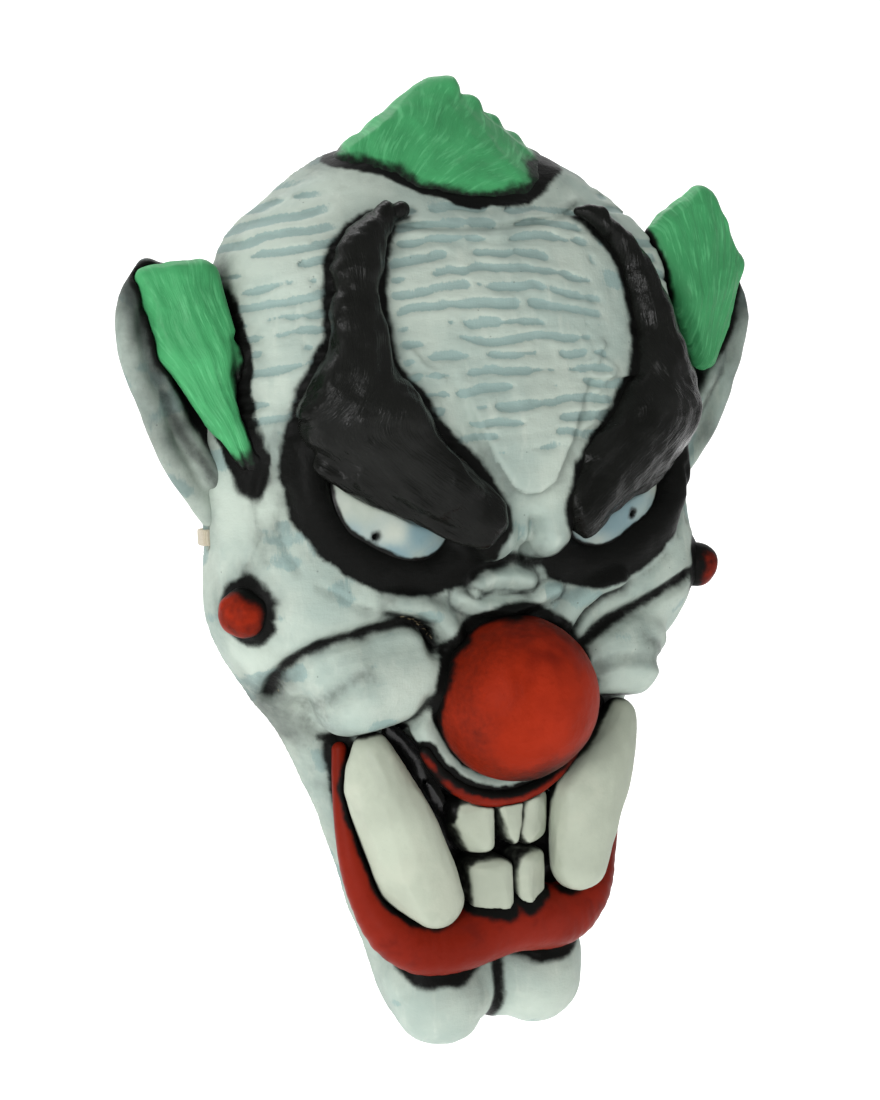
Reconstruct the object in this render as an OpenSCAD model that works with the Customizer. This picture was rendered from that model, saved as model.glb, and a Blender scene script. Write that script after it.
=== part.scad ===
// Latex clown monster mask: moulded skin, glued relief pieces and an elastic strap.
// Worn upright: +Z up, face towards -Y, +X the viewer's right. Rim plane is y = 0.
// Origin: centre of the rim plane at the height of the two strap slits.

/* [Skin] */

// Thickness of the latex shell
wall = 3; // [2:0.5:5]

// Half width of the head at the temples
temple_half_w = 96; // [88:1:104]

// Half width of the upper skull
skull_half_w = 90; // [82:1:98]

// Height of the bare skull above the strap slits
skull_top = 132; // [120:1:140]

// Half width of the jaw beside the fangs
jaw_half_w = 57; // [50:1:64]

// Depth of the two chin bumps below the slits
chin_drop = 190; // [176:1:196]

// Bulge of the cheek lobes in front of the rim
cheek_depth = 46; // [38:1:52]

/* [Nose] */

// Radius of the ball nose
nose_r = 29; // [24:0.5:32]

// Distance of the nose centre in front of the rim
nose_y = 43; // [38:1:48]

// Distance of the nose centre below the slits
nose_drop = 61; // [56:1:66]

/* [Eyes and brows] */

// Radius of each eye dome
eye_r = 17; // [13:0.5:19]

// Sideways position of each eye
eye_x = 47; // [42:1:52]

// Diameter of the peep hole in each eye
peep_d = 5; // [3:0.5:7]

// Height of the pointed top of each brow
brow_top = 105; // [95:1:110]

// Thickness of the brow roll at the overhang
brow_roll = 12; // [9:0.5:14]

/* [Ears and hair] */

// Reach of each ear from the middle plane
ear_reach = 123; // [112:1:130]

// Thickness of the ear leaf
ear_t = 5; // [3:0.5:7]

// Height of the crown tuft peak
crown_peak = 158; // [148:1:165]

// Height of the left tuft
left_tuft_top = 94; // [86:1:104]

// Height of the right tuft
right_tuft_top = 119; // [105:1:124]

/* [Mouth] */

// Drop of the fang tips below the slits
fang_drop = 139; // [130:1:144]

// Radius of each fang at its widest
fang_r = 13.5; // [11:0.5:15]

// Thickness of the lower lip roll
lip_r = 9; // [7:0.5:10]

// Depth of the front teeth in front of the rim
teeth_y = 42; // [36:1:45]

// Radius of each wart
wart_r = 7.5; // [6:0.5:9]

/* [Strap] */

// Width of the elastic band
strap_w = 8; // [6:1:12]

// Thickness of the elastic band
strap_t = 1.4; // [1:0.1:2]

// Hang of the slack band below the slits
strap_sag = 84; // [60:1:95]

// Distance from each slit to the cut edge
slit_inset = 5; // [4:0.5:7]

/* [Hidden] */

$fn = 24;
big = 400;              // size of the cutting blocks
gap = 0.3;              // air between the band and the pieces it swings past
hinge_y = strap_w / 2 + 1;
strap_half = temple_half_w - 6;  // half span of the hanging band
slit_h = 9;
slit_w = 2;
ring_h = 7;
left = -1;
right = 1;

// ---- shared building blocks ----

module ball(p, r) {
    translate(p)
        sphere(r = r, $fn = r < 8 ? 16 : (r < 15 ? 20 : 26));
}

// A rolled bar between two points, each with its own radius
module roll(a, ra, b, rb) {
    hull() {
        ball(a, ra);
        ball(b, rb);
    }
}

// A chain of rolls through points written as [x, y, z, r]
module chain(pts) {
    for (i = [0 : len(pts) - 2])
        roll([pts[i][0], pts[i][1], pts[i][2]], pts[i][3],
            [pts[i + 1][0], pts[i + 1][1], pts[i + 1][2]], pts[i + 1][3]);
}

// Keeps what lies in front of the rim plane
module front_of_rim() {
    intersection() {
        children();
        translate([-big / 2, -big, -big / 2])
            cube(big);
    }
}

module both() {
    children();
    mirror([1, 0, 0])
        children();
}

// ---- skin ----

// The whole head as one solid, every blob shrunk by inset
module head_form(inset) {
    skull_r = 38 - inset;
    crown_r = 34 - inset;
    temple_r = 32 - inset;
    brow_r = 32 - inset;
    cheek_r = 36 - inset;
    lobe_r = 20 - inset;
    jaw_r = 17 - inset;
    chin_r = 17 - inset;
    hull() {
        ball([0, 22, skull_top - 72], 70 - inset);
        both() {
            ball([skull_half_w - 38, 0, 78], skull_r);
            ball([32, 6, skull_top - 34], crown_r);
            ball([temple_half_w - 32, 0, 38], temple_r);
        }
    }
    hull()
        both() {
            ball([14, -22, 16], brow_r);
            ball([48, -12, 50], brow_r + 2);
            ball([temple_half_w - 32, 0, 24], temple_r);
        }
    // eye level down to the cheeks
    hull()
        both() {
            ball([temple_half_w - 32, 0, 14], temple_r);
            ball([8, -10, -8], brow_r);
            ball([60, -3, -22], cheek_r);
        }
    hull()
        both() {
            ball([8, -10, -20], brow_r);
            ball([60, -3, -22], cheek_r);
            ball([62, 2, -42], 24 - inset);
            ball([30, -2, -60], 24 - inset);
        }
    // cheek lobes beside the nose
    both()
        roll([53, lobe_y(), -52], lobe_r - 1, [34, lobe_y() - 1, -51], lobe_r - 2);
    // muzzle and jaw
    hull()
        both() {
            ball([62, 2, -42], 24 - inset);
            ball([jaw_half_w - 8, 2, -76], jaw_r + 1);
            ball([24, -2, -70], 22 - inset);
        }
    hull()
        both() {
            ball([jaw_half_w - 8, 2, -76], jaw_r + 1);
            ball([jaw_half_w - 17, 0, -106], jaw_r);
            ball([jaw_half_w - 26, 0, -136], jaw_r - 1);
        }
    hull()
        both() {
            ball([jaw_half_w - 26, 0, -136], jaw_r - 1);
            ball([20, -6, 20 - chin_drop], chin_r);
        }
    // chin bumps
    both()
        roll([20, -15, 17 - chin_drop], chin_r, [23, -12, 25 - chin_drop], chin_r);
    // nose root: two lobes that part and climb beside the brows
    both() {
        roll([9.5, -48, -2], 9 - inset, [14, -46, 10], 9 - inset);
        roll([14, -46, 10], 9 - inset, [20, -44, 26], 8 - inset);
    }
}

function lobe_y() = 20 - cheek_depth;

// Where a peep hole runs, straight through eye and skin
module peep(side) {
    translate([side * eye_x, -10, -1])
        rotate([90, 0, 0])
            cylinder(h = 60, d = peep_d, $fn = 20);
}

// The slit the elastic passes through
module slit(side) {
    translate([side * temple_half_w - 12, -slit_inset - slit_w / 2, -slit_h / 2])
        cube([24, slit_w, slit_h]);
}

module face_skin() {
    color([0.75, 0.79, 0.76])
        group() {
            difference() {
                front_of_rim()
                    head_form(0);
                head_form(wall);
                peep(left);
                peep(right);
                slit(left);
                slit(right);
            }
        }
}

// ---- hair ----

module crown_form() {
    hull() {
        ball([-36, -7, 122], 9);
        ball([-14, -15, 117], 10);
        ball([18, -16, 115], 10);
        ball([-2, 0, crown_peak - 8], 7);
    }
    hull() {
        ball([10, -14, 117], 10);
        ball([38, -6, 116], 9);
        ball([26, 0, crown_peak - 24], 8);
        ball([8, 0, crown_peak - 12], 8);
    }
    // curls along the right slope
    for (i = [0 : 4])
        ball([10 + 8.5 * i, -1, crown_peak - 10 - 6.2 * i], 7.5 - 0.4 * i);
}

module crown_tuft() {
    color([0.25, 0.62, 0.36])
        group() {
            difference() {
                front_of_rim()
                    crown_form();
                head_form(0);
            }
        }
}

module left_tuft_form() {
    hull() {
        ball([-112, -13, left_tuft_top - 7], 6);
        ball([-95, -15, left_tuft_top - 8], 7);
        ball([-107, -15, 62], 5);
        ball([-93, -19, 60], 6);
    }
    hull() {
        ball([-107, -15, 62], 5);
        ball([-93, -19, 60], 6);
        ball([-94, -20, 40], 6);
    }
    roll([-94, -20, 40], 6, [-86, -22, 26], 5);
}

module right_tuft_form() {
    hull() {
        ball([104, -14, right_tuft_top - 7], 7);
        ball([82, -18, 99], 7);
        ball([117, -13, 88], 6);
        ball([94, -20, 76], 6);
    }
    hull() {
        ball([117, -13, 88], 6);
        ball([94, -20, 76], 6);
        ball([102, -17, 54], 5);
        ball([112, -14, 66], 6);
    }
}

module side_tuft_left() {
    color([0.25, 0.62, 0.36])
        group() {
            difference() {
                left_tuft_form();
                head_form(0);
                ear_form(left);
            }
        }
}

module side_tuft_right() {
    color([0.25, 0.62, 0.36])
        group() {
            difference() {
                right_tuft_form();
                head_form(0);
                ear_form(right);
            }
        }
}

// ---- ears ----

// Rim of the ear leaf from the top to the lobe, then its root on the head
function ear_rim() = [[ear_reach - 8, -8, 88], [ear_reach, -12, 70], [ear_reach - 4, -12, 50],
    [ear_reach - 11, -11, 31], [ear_reach - 20, -9, 15], [ear_reach - 28, -6, 5]];
function ear_root() = [[86, -3.5, 86], [90, -4, 66], [91, -4, 46], [91, -4, 30], [90, -4, 16],
    [89, -4, 7]];

module ear_form(side) {
    t = ear_t / 2;
    scale([side, 1, 1])
        front_of_rim()
            for (i = [0 : 4])
                hull() {
                    ball(ear_rim()[i], t + 1);
                    ball(ear_rim()[i + 1], t + 1);
                    ball(ear_root()[i], t);
                    ball(ear_root()[i + 1], t);
                }
}

module ear(side) {
    color([0.72, 0.76, 0.73])
        group() {
            difference() {
                ear_form(side);
                head_form(0);
                slit(side);
                translate([side * (temple_half_w + 1) - 12, -slit_inset - 4, -slit_h / 2])
                    cube([24, slit_inset + 10, slit_h]);
            }
        }
}

module ear_left() {
    ear(left);
}

module ear_right() {
    ear(right);
}

// ---- brows and eyes ----

module brow_form() {
    chain([[37, -32, brow_top - 5, 5], [42, -34, brow_top - 6, 6], [52, -38, 86, 9],
        [56, -44, 66, 9.5], [57, -44, 52, 11]]);
    hull() {
        ball([57, -44, 52], 11);
        ball([67, -40, 38], 13);
        ball([47, -48, 38], brow_roll - 1);
    }
    hull() {
        ball([67, -40, 38], 13);
        ball([47, -48, 38], brow_roll - 1);
        ball([70, -34, 30], brow_roll);
        ball([48, -44, 20], brow_roll);
    }
    hull() {
        ball([48, -47, 36], brow_roll - 1);
        ball([50, -42, 20], brow_roll);
        ball([19, -52, 4], 9);
        ball([28, -49, 17], 9);
    }
}

module brow(side) {
    color([0.08, 0.08, 0.09])
        group() {
            difference() {
                scale([side, 1, 1])
                    brow_form();
                head_form(0);
                eye_form(side);
            }
        }
}

module brow_left() {
    brow(left);
}

module brow_right() {
    brow(right);
}

module eye_form(side) {
    ball([side * eye_x, -28, 6], eye_r);
}

module eye(side) {
    color([0.82, 0.85, 0.85])
        group() {
            difference() {
                eye_form(side);
                head_form(0);
                peep(side);
            }
        }
}

module eye_left() {
    eye(left);
}

module eye_right() {
    eye(right);
}

// ---- nose and mouth ----

module nose_form() {
    translate([0, -nose_y, -nose_drop])
        sphere(r = nose_r, $fn = 40);
}

module nose_ball() {
    color([0.62, 0.16, 0.1])
        group() {
            difference() {
                nose_form();
                head_form(0);
            }
        }
}

// Crescent under the nose
module upper_lip_form() {
    arc_r = nose_r + 4;
    for (a = [-60 : 20 : 40])
        roll(lip_point(a, arc_r), 6, lip_point(a + 20, arc_r), 6);
}

function lip_point(a, r) = [r * sin(a), -29, -nose_drop - r * cos(a)];

module upper_lip() {
    color([0.6, 0.14, 0.09])
        group() {
            difference() {
                upper_lip_form();
                head_form(0);
                nose_form();
            }
        }
}

module backing_form() {
    hull()
        both() {
            ball([jaw_half_w - 10, -13, -84], 9);
            ball([jaw_half_w - 14, -13, -112], 9);
            ball([28, -14, -136], 9);
        }
}

module mouth_backing() {
    color([0.05, 0.05, 0.05])
        group() {
            difference() {
                backing_form();
                head_form(0);
                nose_form();
                upper_lip_form();
            }
        }
}

function lip_pts(s) = [[s * 59, -20, -76, 4.5], [s * 57, -21, -100, 5], [s * 51, -22, -122, 6.5],
    [s * 41, -25, -139, lip_r - 1], [s * 27, -27, -151, lip_r], [s * 12, -29, -148, lip_r],
    [0, -30, -146, lip_r]];

module lower_lip_form() {
    chain(lip_pts(left));
    chain(lip_pts(right));
}

module lower_lip() {
    color([0.6, 0.14, 0.09])
        group() {
            difference() {
                lower_lip_form();
                head_form(0);
                backing_form();
                fang_form(left);
                fang_form(right);
            }
        }
}

module fang_form(side) {
    mid_z = -102;
    low_z = fang_r - fang_drop;
    scale([side, 1, 1])
        chain([[51, -32, -77, 6], [48, -32, mid_z + 12, fang_r - 1.5], [44, -33, mid_z, fang_r],
            [37, -34, low_z, fang_r]]);
}

module fang(side) {
    color([0.76, 0.77, 0.72])
        group() {
            difference() {
                fang_form(side);
                head_form(0);
                nose_form();
                backing_form();
                upper_lip_form();
            }
        }
}

module fang_left() {
    fang(left);
}

module fang_right() {
    fang(right);
}

// A blunt tooth from its edge near the middle to its outer edge, following the dental arch
module tooth(x_in, x_out, z0, z1) {
    r = 3.4;
    d = sign(x_out - x_in);
    arch = 7;
    y_in = r - teeth_y;
    y_out = y_in + arch;
    color([0.74, 0.75, 0.7])
        group() {
            difference() {
                hull() {
                    ball([x_in + d * r, y_in, z0 - r], r);
                    ball([x_out - d * r, y_out, z0 - r], r);
                    ball([x_in + d * r, y_in, z1 + r], r);
                    ball([x_out - d * (r + 0.8), y_out, z1 + r], r);
                    ball([x_in + d * r, y_in + 18, z0 - r], r);
                    ball([x_out - d * (r + 0.8), y_out + 12, z1 + r], r);
                }
                head_form(0);
                backing_form();
                upper_lip_form();
                lower_lip_form();
                fang_form(left);
                fang_form(right);
            }
        }
}

module tooth_upper_left() {
    tooth(-5.5, -21, -99, -117.5);
}

module tooth_upper_right() {
    tooth(5.5, 21, -97, -116);
}

module tooth_lower_left() {
    tooth(-0.5, -16, -120, -137);
}

module tooth_lower_right() {
    tooth(0.5, 16, -119.6, -136.4);
}

module tooth_wedge() {
    r = 2.2;
    color([0.74, 0.75, 0.7])
        group() {
            difference() {
                hull() {
                    ball([-2.6, 3 - teeth_y, -99], r);
                    ball([2.6, 3 - teeth_y, -99], r);
                    ball([0, 3 - teeth_y, -115.5], r);
                    ball([0, 18 - teeth_y, -104], r);
                }
                head_form(0);
                backing_form();
                upper_lip_form();
            }
        }
}

// ---- warts ----

module wart(side) {
    color([0.6, 0.14, 0.09])
        group() {
            difference() {
                scale([side, 1, 1])
                    chain([[90, -23, -27, wart_r], [92, -23, -23, wart_r - 1]]);
                head_form(0);
            }
        }
}

module wart_left() {
    wart(left);
}

module wart_right() {
    wart(right);
}

// ---- elastic ----

rim_x = temple_half_w;  // outer face of the skin at the slit, next to the rim
ring_in = rim_x - wall - 0.4 - strap_t;

// End of the elastic looped through the slit and over the cut edge
module strap_end(side) {
    outer_x = rim_x + 0.4 + strap_t;
    color([0.9, 0.87, 0.78])
        difference() {
            translate([side > 0 ? ring_in : -outer_x, -slit_inset - slit_w / 2 + 0.3, -ring_h / 2])
                cube([outer_x - ring_in, slit_inset + slit_w / 2 + 1.7, ring_h]);
            translate([side > 0 ? ring_in + strap_t : strap_t - outer_x,
                strap_t - slit_inset - slit_w / 2 + 0.3, -ring_h])
                cube([outer_x - ring_in - 2 * strap_t,
                    slit_inset + slit_w / 2 + 1.7 - 2 * strap_t, 2 * ring_h]);
        }
}

module strap_end_left() {
    strap_end(left);
}

module strap_end_right() {
    strap_end(right);
}

// Bent wire staple on the inner face of the loop
module staple(side) {
    wire = 0.7;
    color([0.7, 0.71, 0.72])
        translate([side > 0 ? ring_in - wire : -ring_in, -4, -2.5])
            cube([wire, wire, 5]);
}

module staple_left() {
    staple(left);
}

module staple_right() {
    staple(right);
}

// Half of the hanging curve, from one slit to the middle
function hang(t) = [strap_half * (1 - pow(1 - t, 1.35)) - strap_half,
    -strap_sag * (1 - pow(1 - t, 2.6))];
function hang_at(i, n) = i <= n ? hang(i / n)
    : [-hang((2 * n - i) / n)[0], hang((2 * n - i) / n)[1]];

module strap() {
    half_steps = 12;
    color([0.9, 0.87, 0.78])
        translate([0, hinge_y, 0])
            rotate([90, 0, 0])
                linear_extrude(height = strap_w, center = true)
                    for (i = [0 : 2 * half_steps - 1])
                        hull() {
                            translate(hang_at(i, half_steps))
                                circle(d = strap_t, $fn = 8);
                            translate(hang_at(i + 1, half_steps))
                                circle(d = strap_t, $fn = 8);
                        }
}

face_skin();
crown_tuft();
side_tuft_left();
side_tuft_right();
ear_left();
ear_right();
brow_left();
brow_right();
eye_left();
eye_right();
nose_ball();
upper_lip();
lower_lip();
mouth_backing();
fang_left();
fang_right();
tooth_upper_left();
tooth_upper_right();
tooth_lower_left();
tooth_lower_right();
tooth_wedge();
wart_left();
wart_right();
strap_end_left();
strap_end_right();
staple_left();
staple_right();
strap();
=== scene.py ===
import math
from functools import partial, reduce

import bpy
import numpy as np
from mathutils import Matrix


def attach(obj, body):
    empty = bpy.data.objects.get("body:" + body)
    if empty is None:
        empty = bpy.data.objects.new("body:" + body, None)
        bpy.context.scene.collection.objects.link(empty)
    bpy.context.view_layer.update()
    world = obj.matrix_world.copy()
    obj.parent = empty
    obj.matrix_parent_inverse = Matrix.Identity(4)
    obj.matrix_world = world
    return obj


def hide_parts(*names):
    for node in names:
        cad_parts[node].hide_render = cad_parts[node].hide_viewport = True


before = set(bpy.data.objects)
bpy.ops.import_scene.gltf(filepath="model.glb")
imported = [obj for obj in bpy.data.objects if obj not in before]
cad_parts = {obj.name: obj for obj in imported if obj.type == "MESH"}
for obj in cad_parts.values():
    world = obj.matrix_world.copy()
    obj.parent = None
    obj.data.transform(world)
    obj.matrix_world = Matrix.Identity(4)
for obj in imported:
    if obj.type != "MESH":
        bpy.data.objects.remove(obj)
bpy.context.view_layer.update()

# Sculpting is done in millimetres in the frame's axes: +Z up, the face looks towards -Y.
MM = 0.001
VOXEL = 1.25
FINE = 0.8
WALL = 3.0
LEAST_WALL = 3.3
SLIT_DEPTH, SLIT_HALF_Y, SLIT_HALF_Z = 12, 0.9, 4.3
FLOW_SPAN = 800
FAR = 50
BEHIND_RIM = 2.0
TOOTH_DEPTH = 14
F32 = np.float32
CORNERS = [(a, b, c) for a in (0, 1) for b in (0, 1) for c in (0, 1)]
SIDES = (-1, 1)


# ------------------------------------------------------------------ fields


def vec(*xyz):
    return np.array(xyz, F32)


def columns(*parts):
    return np.stack(parts, 1).astype(F32)


def fibonacci_sphere(count):
    """Evenly spread unit directions."""
    i = np.arange(count) + 0.5
    z = 1 - 2 * i / count
    turn = i * math.pi * (3 - math.sqrt(5))
    r = np.sqrt(1 - z * z)
    return columns(r * np.cos(turn), r * np.sin(turn), z)


DIRS = fibonacci_sphere(700)
DIRS_LOW = fibonacci_sphere(320)


def evaluate(field, pts, chunk=200000):
    """A field at many points, a chunk at a time to save memory."""
    out = np.empty(len(pts), F32)
    for i in range(0, len(pts), chunk):
        out[i : i + chunk] = field(pts[i : i + chunk])
    return out


def grid_points(*axes):
    return np.stack(np.meshgrid(*axes, indexing="ij"), -1).reshape(-1, 3).astype(F32)


def folded(p):
    """The points with the viewer's-left half laid over the right half."""
    q = p.copy()
    q[:, 0] = np.abs(q[:, 0])
    return q


def mirrored(balls):
    return list(balls) + [(-x, y, z, r) for x, y, z, r in balls if x != 0]


def flipped(side, balls):
    return [(side * x, y, z, r) for x, y, z, r in balls]


def hull(balls, dirs=DIRS_LOW):
    """Distance to the convex hull of balls (x, y, z, r), from its support planes."""
    b = np.array(balls, F32)
    h = (dirs @ b[:, :3].T + b[:, 3][None, :]).max(1)

    return lambda p: evaluate(lambda q: (q @ dirs.T - h).max(1), p, 30000)


def ball(x, y, z, r):
    c = vec(x, y, z)
    return lambda p: np.sqrt(((p - c) ** 2).sum(1)) - r


def rod(p, a, b, ra, rb):
    """Distance to a round bar whose radius runs from ra to rb."""
    a, b = vec(*a), vec(*b)
    d = b - a
    t = np.clip(((p - a) @ d) / max(float(d @ d), 1e-9), 0, 1)
    q = p - a - t[:, None] * d
    return np.sqrt((q * q).sum(1)) - (ra + (rb - ra) * t)


def chain(pts, steps=1):
    """A chain of bars through (x, y, z, r) points, rounded through more points if steps > 1."""
    pts = curve_points(pts, steps) if steps > 1 else pts
    pairs = list(zip(pts[:-1], pts[1:]))
    return lambda p: reduce(np.minimum, (rod(p, m[:3], n[:3], m[3], n[3]) for m, n in pairs))


def flat_line(p, pts):
    """Distance in the XZ plane to an open line of (x, z) points, and the share along it."""
    q = p[:, [0, 2]]
    best = np.full(len(p), 1e6, F32)
    along = np.zeros(len(p), F32)
    parts = len(pts) - 1
    for i in range(parts):
        a, b = np.array(pts[i], F32), np.array(pts[i + 1], F32)
        d = b - a
        t = np.clip(((q - a) @ d) / max(float(d @ d), 1e-9), 0, 1)
        e = np.sqrt(((q - a - t[:, None] * d) ** 2).sum(1))
        near = e < best
        best[near] = e[near]
        along[near] = (i + t[near]) / parts
    return best, along


def curve_points(pts, steps=6):
    """Catmull-Rom points through the given ones."""
    pts = [np.array(q, float) for q in pts]
    ext = [2 * pts[0] - pts[1]] + pts + [2 * pts[-1] - pts[-2]]
    out = []
    for i in range(1, len(ext) - 2):
        a, b, c, d = ext[i - 1 : i + 3]
        for s in range(steps):
            t = s / steps
            bend = (2 * a - 5 * b + 4 * c - d) * t**2 + (3 * b - a - 3 * c + d) * t**3
            out.append(0.5 * (2 * b + (c - a) * t + bend))
    out.append(pts[-1])
    return out


def near_curve(p, points):
    """Distance in the XZ plane to a rounded open line of (x, z) points."""
    return flat_line(p, curve_points(points))[0]


def smin(a, b, k):
    """The lower of two fields, rounded over k where they meet."""
    h = np.maximum(k - np.abs(a - b), 0) / k
    return np.minimum(a, b) - h * h * k * 0.25


def smax(a, b, k):
    return -smin(-a, -b, k)


def step(lo, hi, v):
    t = np.clip((v - lo) / (hi - lo), 0, 1)
    return t * t * (3 - 2 * t)


def bump(d, width):
    """1 on a line, fading smoothly to 0 at width."""
    t = np.clip(np.abs(d) / width, 0, 1)
    return (1 - t * t) ** 2


LATTICE = np.random.RandomState(7).rand(64, 64, 64).astype(F32) * 2 - 1


def noise(p, scale, shift=0.0):
    """Smooth value noise in -1..1; scale is the size of one bump, a number or one per axis."""
    q = p / np.array(scale, F32) + F32(shift + 100.0)
    i = np.floor(q).astype(np.int32)
    f = q - i
    f = f * f * (3 - 2 * f)
    lattice, weight = (i & 63, (i + 1) & 63), (1 - f, f)
    out = 0
    for a, b, c in CORNERS:
        wx, wy, wz = weight[a][:, 0], weight[b][:, 1], weight[c][:, 2]
        out = out + wx * wy * wz * LATTICE[lattice[a][:, 0], lattice[b][:, 1], lattice[c][:, 2]]
    return out


def fbm(p, scale, octaves=3, shift=0.0):
    scale = np.array(scale, F32)
    total, gain = 0, 1.0
    for o in range(octaves):
        total = total + gain * noise(p, scale / 2**o, shift + 13.7 * o)
        gain *= 0.5
    return total


class Smooth:
    """A field sampled once on a grid and read back with cubic B-splines, which rounds it."""

    def __init__(self, field, lo, hi, cell):
        self.lo = np.array(lo, F32)
        self.cell = cell
        n = np.ceil((np.array(hi) - np.array(lo)) / cell).astype(int) + 4
        self.n = n
        self.flat = field(grid_points(*[self.lo[a] + cell * (np.arange(n[a]) - 1) for a in range(3)]))

    def __call__(self, p):
        return evaluate(self.read, (p - self.lo) / self.cell + 1, 100000)

    def read(self, q):
        q = np.clip(q, 1.001, self.n - 2.999)
        i = np.floor(q).astype(np.int32)
        t = q - i
        inner = ((3 * t**3 - 6 * t**2 + 4) / 6, (-3 * t**3 + 3 * t**2 + 3 * t + 1) / 6)
        w = [(1 - t) ** 3 / 6, *inner, t**3 / 6]
        ny, nz = int(self.n[1]), int(self.n[2])
        out = 0
        for a in range(4):
            ia = (i[:, 0] + a - 1) * ny
            for b in range(4):
                ib = (ia + i[:, 1] + b - 1) * nz
                wab = w[a][:, 0] * w[b][:, 1]
                for c in range(4):
                    out = out + wab * w[c][:, 2] * self.flat[ib + i[:, 2] + c - 1]
        return out


class Sampled:
    """A field sampled once on a grid and read back between its points."""

    def __init__(self, field, lo, hi, cell):
        self.lo = np.array(lo, F32)
        self.cell = cell
        self.n = np.ceil((np.array(hi) - np.array(lo)) / cell).astype(int) + 2
        self.v = evaluate(field, grid_points(*[self.lo[a] + cell * np.arange(self.n[a]) for a in range(3)]))

    def __call__(self, p):
        q = np.clip((p - self.lo) / self.cell, 0.001, self.n - 1.001)
        i = q.astype(np.int32)
        f = (q - i).astype(F32)
        ny, nz = int(self.n[1]), int(self.n[2])
        at = (i[:, 0] * ny + i[:, 1]) * nz + i[:, 2]
        out = 0
        for a in (0, 1):
            wa = f[:, 0] if a else 1 - f[:, 0]
            for b in (0, 1):
                wb = wa * (f[:, 1] if b else 1 - f[:, 1])
                k = at + (a * ny + b) * nz
                out = out + wb * ((1 - f[:, 2]) * self.v[k] + f[:, 2] * self.v[k + 1])
        return out


class Map:
    """A function of x and z sampled once on a flat grid and read back between its points."""

    def __init__(self, function, lo=(-132, -200), hi=(132, 170), cell=0.5):
        self.lo, self.cell = np.array(lo, F32), cell
        nx, nz = int((hi[0] - lo[0]) / cell) + 2, int((hi[1] - lo[1]) / cell) + 2
        x, z = np.meshgrid(lo[0] + cell * np.arange(nx), lo[1] + cell * np.arange(nz), indexing="ij")
        p = columns(x.ravel(), 0 * x.ravel(), z.ravel())
        self.n, self.v = np.array([nx, nz]), function(p).astype(F32)

    def __call__(self, p):
        q = np.clip((p[:, [0, 2]] - self.lo) / self.cell, 0.001, self.n - 1.001)
        i = q.astype(np.int32)
        f = (q - i).astype(F32)
        k = i[:, 0] * self.n[1] + i[:, 1]
        v, nz = self.v, int(self.n[1])
        left = (1 - f[:, 1]) * v[k] + f[:, 1] * v[k + 1]
        right = (1 - f[:, 1]) * v[k + nz] + f[:, 1] * v[k + nz + 1]
        return (1 - f[:, 0]) * left + f[:, 0] * right


# ------------------------------------------------------------------ surface from a field


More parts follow.
